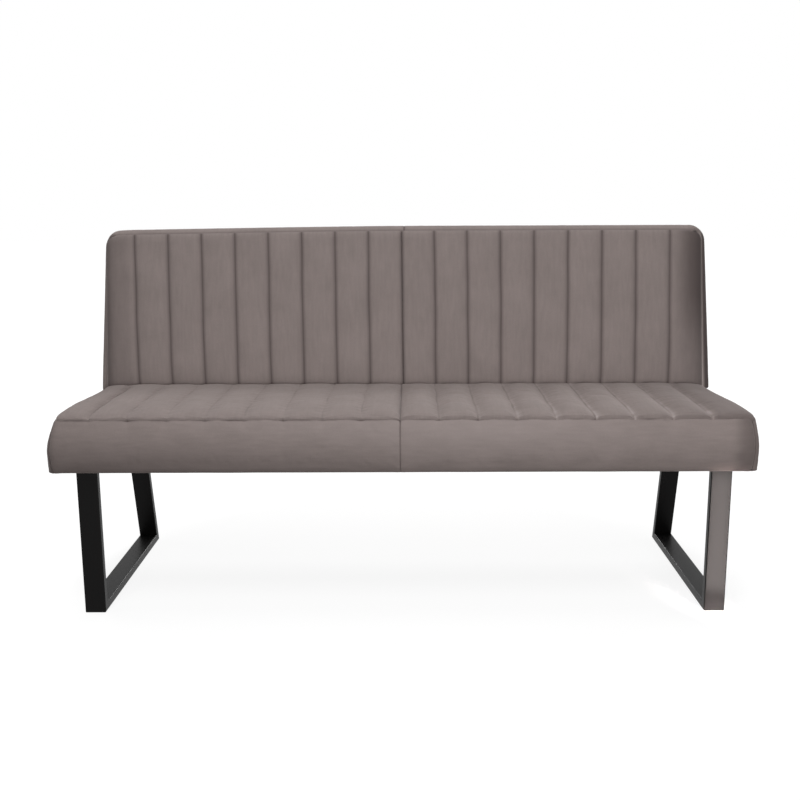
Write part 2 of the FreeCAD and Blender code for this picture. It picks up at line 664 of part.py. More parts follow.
DUST_END = f"({END} - dust_inset)"
dust_sheet = box("dust_sheet", f"2 * {DUST_END}", "seat_depth - 2 * dust_inset", "dust_thickness")
place(dust_sheet, f"-{DUST_END}", f"{FRONT} + dust_inset", "underside_height")
dust_holes = []
for x, y in bolt_places:
    dust_holes.append(place(cylinder("dust_hole", HOLE, "dust_thickness"), x, y, "underside_height"))
node(cut("seat_dust_cover", dust_sheet, dust_holes))

# Leaning back: its frame stands on the seat's rear ledge, in line with the seat's rear rail

WOOD_FRONT = f"(({INSIDE_REAR} - {BACK_FACE}) * cos(back_lean))"
WOOD_REAR = f"({WOOD_FRONT} + frame_thickness)"
BACK_REAR = f"({WOOD_REAR} + frame_rear_pad + cover_thickness)"
WOOD_BOTTOM = f"({WOOD_REAR} * tan(back_lean))"
WOOD_TOP = "(back_height - back_round - cover_thickness)"
WOOD_END = f"({END} - back_taper - frame_end_pad)"
STILE_LOW = f"({WOOD_BOTTOM} + frame_rail_height)"
STILE_LENGTH = f"({WOOD_TOP} - frame_rail_height - {STILE_LOW})"
QUILT_BACK = "(channel_rise + back_crown / 2 + quilt_thickness)"
UPPER_SCREWS = ["upper_screw_rise", "upper_screw_rise + upper_screw_step"]


def back_slice(rise_up, half, front, rear, swell):
    """One slice through the back at a height on its slope: channels, drawn-in ends and the flat rear."""
    draw = value("back_side_draw")
    widest = max(value("back_side_depth"), front + value("cover_thickness"))
    chamfer = value("back_rear_chamfer")
    inward, deeper = swelling(draw, widest - front)

    def at(x, depth):
        return FreeCAD.Vector(x, depth, rise_up)

    face = channels(half - draw, front, -swell, at)
    right_end = [at(half - draw, front), at(half - inward, widest - deeper), at(half, widest)]
    left_end = [at(-half, widest), at(inward - half, widest - deeper), at(draw - half, front)]
    rest = [
        [at(half, widest), at(half, rear - chamfer)],
        [at(half, rear - chamfer), at(half - chamfer, rear)],
        [at(half - chamfer, rear), at(chamfer - half, rear)],
        [at(chamfer - half, rear), at(-half, rear - chamfer)],
        [at(-half, rear - chamfer), at(-half, widest)],
    ]
    return joined(face + [right_end] + rest + [left_end])


def back_form(label, skin, quilted):
    """The back's whole outside, or the foam's when a skin's thickness is taken off."""
    height = value("back_height")
    top_radius = value("back_round")
    corner = value("back_corner")
    swell = value("channel_rise") if quilted else 0
    seat_line = -value("back_skirt")
    heights = [(seat_line, 0), (height / 4, 0), (height / 2, 0), (height * 3 / 4, 0), (height - corner, 0)]
    heights += [(height - top_radius * (1 - math.sin(math.radians(angle))), angle) for angle in (0, 30, 60, 90)]
    slices = []
    for up, angle in heights:
        inset = top_radius * (1 - math.cos(math.radians(angle)))
        bow = value("back_crown") * ((2 * up / height - 1) ** 2 - 0.5)
        front = value("channel_rise") + bow + inset
        if not quilted:
            front = max(value(QUILT_BACK), front + skin)
        half = value(END) - value("back_taper") * up / height - rounded(corner, height - up) - skin
        rear = value(BACK_REAR) - inset - skin
        slices.append(back_slice(up - skin, half, front, rear, swell * math.cos(math.radians(angle))))
    form = doc.addObject("Part::Feature", label)
    form.Shape = Part.makeLoft(slices, True, True)
    return lean(form)


def above_seat(label, piece):
    """A form of the back trimmed level where it stands on the seat."""
    ledge = box(label + "_ledge", "2 * seat_width", "2 * seat_depth", "seat_depth")
    place(ledge, "-seat_width", "-seat_depth", f"{LEDGE} - seat_depth")
    return cut(label, piece, [ledge])


def back_region(label, x, length, near, far):
    """A slab of the leaning back between two depths behind its face."""
    region = box(label, length, f"{far} - {near}", "2 * back_height")
    return lean(region, x, near, "-back_height / 2")


back_outside = above_seat("back_outside", back_form("back_outside_form", 0, True))
back_inside = above_seat("back_inside", back_form("back_inside_form", value("cover_thickness"), False))
back_skin = cut("back_skin", back_outside, [back_inside])
SKIN_REAR = f"({BACK_REAR} - cover_thickness)"
for name, x in (("left", f"-{END}"), ("right", "0")):
    face_region = back_region(f"back_face_region_{name}", x, END, "(-seat_depth)", QUILT_BACK)
    node(common(f"back_cover_front_{name}", back_outside, face_region))
    band_region = back_region(f"back_band_region_{name}", x, END, QUILT_BACK, SKIN_REAR)
    node(common(f"back_cover_boxing_{name}", back_skin, band_region))
rear_region = back_region("back_rear_region", f"-{END}", "seat_width", SKIN_REAR, f"({BACK_REAR} + seat_depth)")
node(common("back_cover_rear", back_outside, rear_region))

wood_room = box("wood_room", f"2 * {WOOD_END}", f"{SKIN_REAR} - {WOOD_FRONT} + board_thickness", "back_height")
lean(wood_room, f"-{WOOD_END}", f"{WOOD_FRONT} - board_thickness", f"{WOOD_TOP} - back_height")
HEAD_ROOM = "(bracket_thickness + head_height + bracket_clearance)"
BRACKET_TIP = f"(bracket_rise + ({INSIDE_REAR} - {BACK_FACE}) * sin(back_lean))"
BRACKET_ROOM = f"(bracket_rise + {BRACKET_TIP} + bracket_clearance)"
SLOT_WIDTH = "(bracket_width + 2 * bracket_clearance)"
bracket_rooms = []
for name, spot in zip(BRACKET_NAMES, BRACKET_SPOTS):
    room = box(f"bracket_room_{name}", SLOT_WIDTH, HEAD_ROOM, BRACKET_ROOM)
    lean(room, f"{spot} - {SLOT_WIDTH} / 2", f"{WOOD_FRONT} - {HEAD_ROOM}", "-bracket_rise")
    bracket_rooms.append(room)
foam_slab = cut("foam_slab", back_inside, [wood_room])
node(cut("back_foam", foam_slab, bracket_rooms))

top_board = box("back_top_rail", f"2 * {WOOD_END}", "frame_thickness", "frame_rail_height")
node(lean(top_board, f"-{WOOD_END}", WOOD_FRONT, f"{WOOD_TOP} - frame_rail_height"))


def upper_hole(label, spot, rise):
    """A screw hole in the front of the back frame."""
    return lean(cylinder(label, SCREW_RADIUS, SCREW_DEPTH), spot, WOOD_FRONT, rise, "-90")


bottom_board = lean(box("bottom_board", f"2 * {WOOD_END}", "frame_thickness", "frame_rail_height"),
                    f"-{WOOD_END}", WOOD_FRONT, WOOD_BOTTOM)
bottom_holes = [upper_hole("bottom_hole", spot, UPPER_SCREWS[0]) for spot in BRACKET_SPOTS]
node(cut("back_bottom_rail", bottom_board, bottom_holes))

for name, side in SIDES:
    stile = box(f"back_end_stile_{name}", "frame_stile_width", "frame_thickness", STILE_LENGTH)
    middle = f"{side} * ({WOOD_END} - frame_stile_width / 2)"
    node(lean(stile, f"{middle} - frame_stile_width / 2", WOOD_FRONT, STILE_LOW))

for name, spot in zip(BRACKET_NAMES, BRACKET_SPOTS):
    post_board = box(f"post_board_{name}", "frame_stile_width", "frame_thickness", STILE_LENGTH)
    lean(post_board, f"{spot} - frame_stile_width / 2", WOOD_FRONT, STILE_LOW)
    node(cut(f"back_post_{name}", post_board, [upper_hole(f"post_hole_{name}", spot, UPPER_SCREWS[1])]))

facing = box("facing", f"2 * {WOOD_END}", "board_thickness", f"{WOOD_TOP} - {WOOD_BOTTOM}")
lean(facing, f"-{WOOD_END}", f"{WOOD_FRONT} - board_thickness", WOOD_BOTTOM)
notches = []
for name, spot in zip(BRACKET_NAMES, BRACKET_SPOTS):
    notch = box(f"facing_notch_{name}", SLOT_WIDTH, "board_thickness", BRACKET_ROOM)
    lean(notch, f"{spot} - {SLOT_WIDTH} / 2", f"{WOOD_FRONT} - board_thickness", "-bracket_rise")
    notches.append(notch)
node(cut("back_hardboard", facing, notches))

# Bent steel brackets between the seat's rear rail and the back frame, and their coach screws

BEND = f"({LEDGE} + bracket_thickness * tan(back_lean / 2))"


def bracket(label, spot):
    """A flat bar, upright on the seat rail and leaning on the back frame, with two screw holes in each part."""
    bar = doc.addObject("PartDesign::Body", label + "_bar")
    place(bar, spot)
    foot = f"{LEDGE} - bracket_drop"
    tip_y = f"{INSIDE_REAR} + bracket_rise * sin(back_lean)"
    tip_z = f"{LEDGE} + bracket_rise * cos(back_lean)"
    outline = [
        (INSIDE_REAR, foot),
        (INSIDE_REAR, LEDGE),
        (tip_y, tip_z),
        (f"{tip_y} - bracket_thickness * cos(back_lean)", f"{tip_z} + bracket_thickness * sin(back_lean)"),
        (f"{INSIDE_REAR} - bracket_thickness", BEND),
        (f"{INSIDE_REAR} - bracket_thickness", foot),
    ]
    pad(bar, label + "_strip", sketch_on(bar, label + "_outline", "YZ_Plane", outline), "bracket_width", True)
    holes = []
    for drop in LOWER_SCREWS:
        hole = cylinder(label + "_lower_hole", HOLE, "3 * bracket_thickness")
        holes.append(place(hole, spot, f"{INSIDE_REAR} - 2 * bracket_thickness", f"{LEDGE} - ({drop})", "-90"))
    for rise in UPPER_SCREWS:
        hole = cylinder(label + "_upper_hole", HOLE, "3 * bracket_thickness")
        holes.append(lean(hole, spot, f"{WOOD_FRONT} - 2 * bracket_thickness", rise, "-90"))
    return node(cut(label, bar, holes))


for name, spot in zip(BRACKET_NAMES, BRACKET_SPOTS):
    bracket(f"back_bracket_{name}", spot)

coach_screw = hexagon_bolt("coach_screw", "screw_length")
screws = []
for spot in BRACKET_SPOTS:
    for drop in LOWER_SCREWS:
        link = doc.addObject("App::Link", "seat_screw")
        link.LinkedObject = coach_screw
        screws.append(place(link, spot, f"{INSIDE_REAR} - bracket_thickness", f"{LEDGE} - ({drop})", "-90"))
    for rise in UPPER_SCREWS:
        link = doc.addObject("App::Link", "back_screw")
        link.LinkedObject = coach_screw
        screws.append(lean(link, spot, f"{WOOD_FRONT} - bracket_thickness", rise, "-90"))
node(group("bracket_screws", screws))

# Check every object and keep every sub-part

doc.recompute()
for item in doc.Objects:
    if "Invalid" in item.State or "Error" in item.State:
        raise RuntimeError(f"{item.Label} did not build: {item.State}")
os.makedirs("parts", exist_ok=True)
for piece in NODES:
    shape = piece.Shape
    if shape.isNull() or not shape.isValid() or not shape.Solids:
        raise RuntimeError(f"{piece.Label} has no sound solid")
    shape.exportStep(f"parts/{piece.Label}.step")
    print(f"{piece.Label}: {len(shape.Solids)} solids, {shape.Volume / 1000:.1f} cm3")
whole = Part.makeCompound([piece.Shape for piece in NODES]).BoundBox
print(f"{len(NODES)} sub-parts, {whole.XLength:.1f} x {whole.YLength:.1f} x {whole.ZLength:.1f} mm")
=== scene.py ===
"""Looks of an upholstered dining bench: channel-sewn velvet over foam on two black steel sled legs.

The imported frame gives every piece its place. Lengths are metres, +Z is up, -Y is the front and +X is to
the right of someone who faces the front.
"""

import json
import logging
import math
from collections.abc import Callable
from dataclasses import dataclass
from enum import Enum
from typing import Generic, TypeVar

import bpy
import numpy as np
from mathutils import Matrix, Vector
from mathutils.bvhtree import BVHTree

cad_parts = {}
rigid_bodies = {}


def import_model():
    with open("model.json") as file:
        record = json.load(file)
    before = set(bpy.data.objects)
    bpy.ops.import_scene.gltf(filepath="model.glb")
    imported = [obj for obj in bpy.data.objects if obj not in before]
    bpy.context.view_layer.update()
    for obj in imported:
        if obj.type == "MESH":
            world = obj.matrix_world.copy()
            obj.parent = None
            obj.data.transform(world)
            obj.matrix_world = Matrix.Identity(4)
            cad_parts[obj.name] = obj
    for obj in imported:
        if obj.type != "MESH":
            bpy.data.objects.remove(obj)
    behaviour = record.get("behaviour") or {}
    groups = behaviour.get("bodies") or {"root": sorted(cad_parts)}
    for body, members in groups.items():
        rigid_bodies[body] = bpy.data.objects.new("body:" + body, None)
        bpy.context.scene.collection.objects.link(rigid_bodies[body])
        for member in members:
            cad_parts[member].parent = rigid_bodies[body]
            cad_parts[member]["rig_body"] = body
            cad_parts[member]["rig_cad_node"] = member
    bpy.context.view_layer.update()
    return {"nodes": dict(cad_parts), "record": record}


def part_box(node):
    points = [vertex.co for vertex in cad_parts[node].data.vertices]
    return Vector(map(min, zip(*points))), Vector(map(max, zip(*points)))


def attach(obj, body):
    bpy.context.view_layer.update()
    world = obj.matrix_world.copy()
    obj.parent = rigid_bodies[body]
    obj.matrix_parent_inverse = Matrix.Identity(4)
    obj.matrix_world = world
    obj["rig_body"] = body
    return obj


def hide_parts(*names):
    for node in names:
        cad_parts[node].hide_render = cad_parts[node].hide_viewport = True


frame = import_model()

log = logging.getLogger("dining_bench")
MM = 0.001
QUARTER_TURN = math.pi / 2.0
ROOT = "root"
Shape = Callable[[np.ndarray, np.ndarray], np.ndarray]
Arrow = tuple[float, float, float]
FORWARD: Arrow = (0.0, -1.0, 0.0)
BACKWARD: Arrow = (0.0, 1.0, 0.0)
UPWARD: Arrow = (0.0, 0.0, 1.0)
DOWNWARD: Arrow = (0.0, 0.0, -1.0)
Thing = TypeVar("Thing")


class Side(Enum):
    """The two halves of the bench, as someone who faces its front sees them."""

    LEFT = -1
    RIGHT = 1

    @property
    def word(self) -> str:
        """The half's name as the nodes spell it."""
        return self.name.lower()


@dataclass(frozen=True)
class Pair(Generic[Thing]):
    """Something that differs between the two halves."""

    left: Thing
    right: Thing

    def on(self, side: Side) -> Thing:
        """What one half has."""
        return self.right if side is Side.RIGHT else self.left


# Plain helpers for curves and unevenness


def quarter(reach: np.ndarray) -> np.ndarray:
    """Rises from 0 to 1 as a quarter round does, and stays there."""
    return np.sqrt(1.0 - (1.0 - np.clip(reach, 0.0, 1.0)) ** 2)


def ease(reach: np.ndarray) -> np.ndarray:
    """Rises from 0 to 1 with a soft start and a soft end."""
    part = np.clip(reach, 0.0, 1.0)
    return part * part * (3.0 - 2.0 * part)


def inset_of(radius: float, depth: np.ndarray) -> np.ndarray:
    """How far a rounded edge lies in, at a depth from where the rounding starts.

    Args:
        radius: radius of the rounding.
        depth: distance from the outermost face.

    Returns:
        The inset, which is the whole radius at depth 0 and nothing past the rounding.
    """
    short = np.clip(radius - depth, 0.0, radius)
    return radius - np.sqrt(radius * radius - short * short)


def bell(distance: np.ndarray, reach: float | np.ndarray) -> np.ndarray:
    """Fades from 1 towards 0 on both sides of a place, to about a third at its reach."""
    return np.exp(-(distance / reach) ** 2)


def hump(share: np.ndarray) -> np.ndarray:
    """An arch over a width: 0 at both ends and 1 in the middle."""
    return 4.0 * share * (1.0 - share)


def leaned_in(draw: np.ndarray, reach: float, past: np.ndarray) -> np.ndarray:
    """How far a face has curved in along an arc that starts straight.

    Args:
        draw: how far it is in at the end of the arc.
        reach: distance from the arc's start to its end.
        past: distance from the arc's start.

    Returns:
        The inset, nothing before the arc.
    """
    radius = (draw ** 2 + reach ** 2) / (2.0 * draw)
    return radius - np.sqrt(radius ** 2 - np.clip(past, 0.0, reach) ** 2)


@dataclass(frozen=True)
class Ramp:
    """A soft rise: how high it goes, where it starts and how long it takes."""

    height: float
    start: float
    length: float

    def at(self, place: np.ndarray) -> np.ndarray:
        """Height of the rise at a place."""
        return self.height * ease((place - self.start) / self.length)


@dataclass(frozen=True)
class Spot:
    """A soft mark: its strength, its middle and its reach on both sides."""

    strength: float
    middle: float
    reach: float

    def at(self, place: np.ndarray) -> np.ndarray:
        """Strength of the mark at a place."""
        return self.strength * bell(place - self.middle, self.reach)


@dataclass(frozen=True)
class Waver:
    """A smooth uneven line: how far it swings, its usual length from crest to crest, and its seed.

    The row shift moves the line on from one seam or channel to the next, so that no two are alike.
    """

    swing: float
    length: float
    seed: int
    row_shift: float = 0.0
    waves: tuple[float, ...] = (0.61, 0.83, 1.0, 1.37, 1.9)
    crest: float = 2.6

    def at(self, place: np.ndarray, turn: int = 0, row: np.ndarray | float = 0.0) -> np.ndarray:
        """Height of the line.

        Args:
            place: where along the line, in metres.
            turn: picks another line of the same kind, such as the other half's.
            row: number of the seam or channel.

        Returns:
            Heights that go about as far as the swing above and below 0.
        """
        draw = np.random.default_rng(self.seed + turn)
        shifted = place + self.row_shift * row
        total = np.zeros_like(shifted, dtype=float)
        for wave in self.waves:
            phase = draw.uniform(0.0, 2.0 * math.pi)
            total += np.sin(2.0 * math.pi * shifted / (self.length * wave) + phase)
        return self.swing * (total / self.crest)


@dataclass(frozen=True)
class Crease:
    """Shallow pull lines in stretched cloth: how high they stand, how long and how far apart they are."""

    height: float
    length: float
    apart: float
    seed: int
    bend: float = 0.6
    broken: float = 0.7
    slant: float = 0.37

    def at(self, along: np.ndarray, beside: np.ndarray, turn: int = 0) -> np.ndarray:
        """Height of the pull lines, which bend and come and go.

        Args:
            along: place along the lines.
            beside: place from one line to the next.
            turn: picks another cloth of the same kind.

        Returns:
            Heights that go about as far as the lines' height above and below 0.
        """
        bend = Waver(self.bend * self.apart, self.length, self.seed + 1).at(along, turn)
        broken = Waver(0.5, self.broken * self.length, self.seed + 2).at(along + self.slant * beside, turn)
        lines = Waver(1.0, self.apart, self.seed + 3).at(beside + bend, turn)
        return self.height * (lines * np.clip(0.5 + broken, 0.0, 1.0))


# A panel's edge: lines of the allowance past its seam, and lines where the cloth turns in to it
ALLOWANCE = 5.0 * MM
TURNED_IN = ALLOWANCE * np.array([0.4, 1.0])
TUCK = 3.0 * MM
TUCK_WIDTH = 4.5 * MM
TUCK_LINES = TUCK_WIDTH * np.array([0.0, 0.12, 0.3, 0.58])
ALLOWANCE_LINES = len(TURNED_IN)
EDGE_LINES = ALLOWANCE_LINES + len(TUCK_LINES)


def grid_lines(length: float, step: float) -> np.ndarray:
    """Lines from one seam to the next, crowded where the cloth turns in, with both allowances.

    Args:
        length: distance between the seams.
        step: distance between lines away from the seams.

    Returns:
        The lines' places, in order.
    """
    end = np.concatenate([-TURNED_IN[::-1], TUCK_LINES])
    inner = length - 2.0 * TUCK_WIDTH
    middle = np.linspace(TUCK_WIDTH, length - TUCK_WIDTH, max(2, round(inner / step) + 1))
    return np.concatenate([end, middle, length - end[::-1]])


def tucked(distance: np.ndarray, deep: float = TUCK) -> np.ndarray:
    """How deep a panel's edge turns in towards its seam; past the seam the allowance goes straight in."""
    return deep * (1.0 - quarter(distance / TUCK_WIDTH)) + np.clip(-distance, 0.0, None)


def stitch_shade(distance: np.ndarray, reach: float = 1.8 * MM) -> np.ndarray:
    """Darkness of the crushed pile beside a seam, 1 on the seam itself and past it."""
    return bell(np.clip(distance, 0.0, None), reach)


# Node helpers and finishes


def linear(hex_colour: str) -> tuple[float, float, float, float]:
    """Turns an sRGB hex colour to linear.

    Args:
        hex_colour: the colour as #rrggbb.

    Returns:
        Red, green, blue and full alpha.
    """
    parts = [int(hex_colour[place:place + 2], 16) / 255.0 for place in (1, 3, 5)]
    red, green, blue = (
        part / 12.92 if part <= 0.04045 else ((part + 0.055) / 1.055) ** 2.4 for part in parts
    )
    return red, green, blue, 1.0


def add_node(
    tree: bpy.types.NodeTree, kind: str, sockets: dict | None = None, **settings: object
) -> bpy.types.Node:
    """Adds a node with its settings and fills its sockets.

    Args:
        tree: the material's or the world's node tree.
        kind: the node's type name.
        sockets: what each input gets, by name or number: an output to link, or a plain value.
        settings: properties of the node itself.

    Returns:
        The new node.
    """
    node = tree.nodes.new(kind)
    for name, setting in settings.items():
        setattr(node, name, setting)
    for name, source in (sockets or {}).items():
        if isinstance(source, bpy.types.NodeSocket):
            tree.links.new(source, node.inputs[name])
        else:
            node.inputs[name].default_value = source
    return node


def new_material(name: str) -> tuple[bpy.types.Material, bpy.types.NodeTree, bpy.types.Node]:
    """A material with nodes.

    Args:
        name: the real material's name.

    Returns:
        The material, its tree and its main shader.
    """
    material = bpy.data.materials.new(name)
    material.use_nodes = True
    tree = material.node_tree
    return material, tree, tree.nodes["Principled BSDF"]


# Numbers of a colour Mix node's sockets, which share their names with its other types
MIX_FACTOR, MIX_FIRST, MIX_SECOND, MIX_RESULT = 0, 6, 7, 2


@dataclass(frozen=True)
class Velvet:
    """Woven polyester velvet: matt short pile with a pale sheen where it is seen from its side."""

    name: str = "polyester_velvet_taupe"
    colour: str = "#8a7f7c"
    # Colour of broad brushed marks, which fall at random
    brushed: str = "#7d7370"
    sunken: str = "#4a4140"
    lifted: str = "#b3a8a6"
    pile: float = 2.6 * MM  # real tufts stand 0.6 mm apart, drawn coarser so that they show
    brush_mark: float = 85.0 * MM
    brush_range: tuple[float, float] = (0.1, 0.6)
    streak: float = 8.0 * MM
    streak_length: float = 0.14
    grain_range: tuple[float, float] = (-0.22, 0.34)
    relief: float = 0.5 * MM
    relief_strength: float = 0.35
    roughness: float = 0.92
    specular: float = 0.15
    sheen: float = 0.32
    sheen_roughness: float = 0.45
    sheen_tint: str = "#d8cfcc"

    def material(self) -> bpy.types.Material:
        """Builds the velvet; its streaks follow the flat cloth, kept as the piece's UV map.

        Returns:
            The material.
        """
        material, tree, shader = new_material(self.name)
        place = add_node(tree, "ShaderNodeTexCoord")
        # Broad marks where a hand or a seat has brushed the pile over
        marks = add_node(tree, "ShaderNodeTexNoise", {
            "Vector": place.outputs["Object"], "Scale": 1.0 / self.brush_mark,
            "Detail": 3.0, "Roughness": 0.55,
        })
        along = add_node(tree, "ShaderNodeMapping", {
            "Vector": place.outputs["UV"], "Scale": (1.0, self.streak_length, 1.0),
        })
        streaks = add_node(tree, "ShaderNodeTexNoise", {
            "Vector": along.outputs["Vector"], "Scale": 1.0 / self.streak, "Detail": 2.0,
        })
        tufts = add_node(tree, "ShaderNodeTexNoise", {
            "Vector": place.outputs["Object"], "Scale": 1.0 / self.pile,
            "Detail": 2.0, "Roughness": 0.7,
        })
        broad = add_node(tree, "ShaderNodeMapRange", {
            "Value": marks.outputs["Fac"], "From Min": 0.3, "From Max": 0.7,
            "To Min": self.brush_range[0], "To Max": self.brush_range[1],
        })
        fine = add_node(tree, "ShaderNodeMath", {
            0: streaks.outputs["Fac"], 1: tufts.outputs["Fac"],
        }, operation="ADD")
        grain = add_node(tree, "ShaderNodeMapRange", {
            "Value": fine.outputs["Value"], "From Min": 0.7, "From Max": 1.3,
            "To Min": self.grain_range[0], "To Max": self.grain_range[1],
        })
        brushing = add_node(tree, "ShaderNodeMath", {
            0: broad.outputs["Result"], 1: grain.outputs["Result"],
        }, operation="ADD", use_clamp=True)
        face = add_node(tree, "ShaderNodeMix", {
            MIX_FACTOR: brushing.outputs["Value"],
            MIX_FIRST: linear(self.colour), MIX_SECOND: linear(self.brushed),
        }, data_type="RGBA")
        # Darker where the seam attribute rises: crushed pile along the stitching with painted shade in the
        # seams, and painted shade towards the ends and corners
        seam = add_node(tree, "ShaderNodeAttribute", attribute_name="seam")
        colour = add_node(tree, "ShaderNodeMix", {
            MIX_FACTOR: seam.outputs["Fac"],
            MIX_FIRST: face.outputs[MIX_RESULT], MIX_SECOND: linear(self.sunken),
        }, data_type="RGBA")
        # Painted highlight where the attribute is below 0: beside the right top's channel seams, along the
        # right boxing's front seam and on the middle of the front bands
        upright = add_node(tree, "ShaderNodeMath", {
            0: seam.outputs["Fac"], 1: -1.0,
        }, operation="MULTIPLY", use_clamp=True)
        colour = add_node(tree, "ShaderNodeMix", {
            MIX_FACTOR: upright.outputs["Value"],
            MIX_FIRST: colour.outputs[MIX_RESULT], MIX_SECOND: linear(self.lifted),
        }, data_type="RGBA")
        height = add_node(tree, "ShaderNodeBump", {
            "Height": fine.outputs["Value"], "Strength": self.relief_strength, "Distance": self.relief,
        })
        tree.links.new(colour.outputs[MIX_RESULT], shader.inputs["Base Color"])
        tree.links.new(height.outputs["Normal"], shader.inputs["Normal"])
        shader.inputs["Roughness"].default_value = self.roughness
        shader.inputs["Specular IOR Level"].default_value = self.specular
        shader.inputs["Sheen Weight"].default_value = self.sheen
        shader.inputs["Sheen Roughness"].default_value = self.sheen_roughness
        shader.inputs["Sheen Tint"].default_value = linear(self.sheen_tint)
        return material


@dataclass(frozen=True)
class Grained:
    """A finish of one colour that wanders to a second one in grain or specks, with a matching fine relief."""

    name: str
    colour: str
    second: str
    grain: float
    stretch: tuple[float, float, float] = (1.0, 1.0, 1.0)
    roughness: float = 0.6
    rough_spread: float = 0.1
    metallic: float = 0.0
    specular: float = 0.5
    relief: float = 0.1 * MM
    share: tuple[float, float] = (0.35, 0.65)

    def material(self) -> bpy.types.Material:
        """Builds the finish on Object coordinates.

        Returns:
            The material.
        """
        material, tree, shader = new_material(self.name)
        place = add_node(tree, "ShaderNodeTexCoord")
        turned = add_node(tree, "ShaderNodeMapping", {
            "Vector": place.outputs["Object"], "Scale": self.stretch,
        })
        grain = add_node(tree, "ShaderNodeTexNoise", {
            "Vector": turned.outputs["Vector"], "Scale": 1.0 / self.grain, "Detail": 4.0, "Roughness": 0.6,
        })
        low, high = self.share
        mixing = add_node(tree, "ShaderNodeMapRange", {
            "Value": grain.outputs["Fac"], "From Min": low, "From Max": high,
        })
        colour = add_node(tree, "ShaderNodeMix", {
            MIX_FACTOR: mixing.outputs["Result"],
            MIX_FIRST: linear(self.colour), MIX_SECOND: linear(self.second),
        }, data_type="RGBA")
        gloss = add_node(tree, "ShaderNodeMapRange", {
            "Value": grain.outputs["Fac"], "From Min": low, "From Max": high,
            "To Min": self.roughness - self.rough_spread, "To Max": self.roughness + self.rough_spread,
        })
        height = add_node(tree, "ShaderNodeBump", {
            "Height": grain.outputs["Fac"], "Strength": 0.5, "Distance": self.relief,
        })
        tree.links.new(colour.outputs[MIX_RESULT], shader.inputs["Base Color"])
        tree.links.new(gloss.outputs["Result"], shader.inputs["Roughness"])
        tree.links.new(height.outputs["Normal"], shader.inputs["Normal"])
        shader.inputs["Metallic"].default_value = self.metallic
        shader.inputs["Specular IOR Level"].default_value = self.specular
        return material


class Finish(Enum):
    """Every finish on the bench, by the record's slot that it dresses."""

    # Satin powder coat: near black, with the faint orange peel that baked powder leaves
    BLACK_STEEL = Grained("satin_black_powder_coat", "#060505", "#0c0b0b", 1.4 * MM, roughness=0.4,
                          rough_spread=0.05, specular=0.1, relief=0.05 * MM)
    # Moulded polyethylene: black, waxy and scuffed
    GLIDE_PLASTIC = Grained("black_polyethylene", "#161616", "#232323", 3.0 * MM, roughness=0.5)
    # Planed pine: straw colour with darker lines along the board
    FRAME_WOOD = Grained("planed_pine", "#c9a877", "#a98250", 9.0 * MM, stretch=(0.07, 0.3, 1.0),
                         roughness=0.62, relief=0.3 * MM)
    # Pressed hardboard: brown and speckled with fibre
    HARDBOARD = Grained("hardboard", "#6b4c34", "#54391f", 2.5 * MM, roughness=0.55)
    # Zinc plate on steel: grey metal with a dull bloom
    ZINC_STEEL = Grained("zinc_plated_steel", "#b4b6b8", "#8e9193", 6.0 * MM, roughness=0.38, metallic=1.0)
    # Needled felt: grey with mixed fibres
    FELT = Grained("needled_felt", "#77736e", "#4f4c49", 2.2 * MM, stretch=(0.4, 1.0, 1.0), roughness=0.95,
                   relief=0.6 * MM)
    # Spunbonded polypropylene: thin black cloth, pressed together in fine specks
    DUST_CLOTH = Grained("spunbonded_polypropylene", "#1b1b1c", "#2b2b2d", 2.0 * MM, roughness=0.8,
                         relief=0.2 * MM)
    # Polyurethane foam: cream, open-celled
    FOAM = Grained("polyurethane_foam", "#e3d7b4", "#cfc09a", 2.0 * MM, roughness=0.95, relief=0.5 * MM)


# Places on the bench that several pieces share


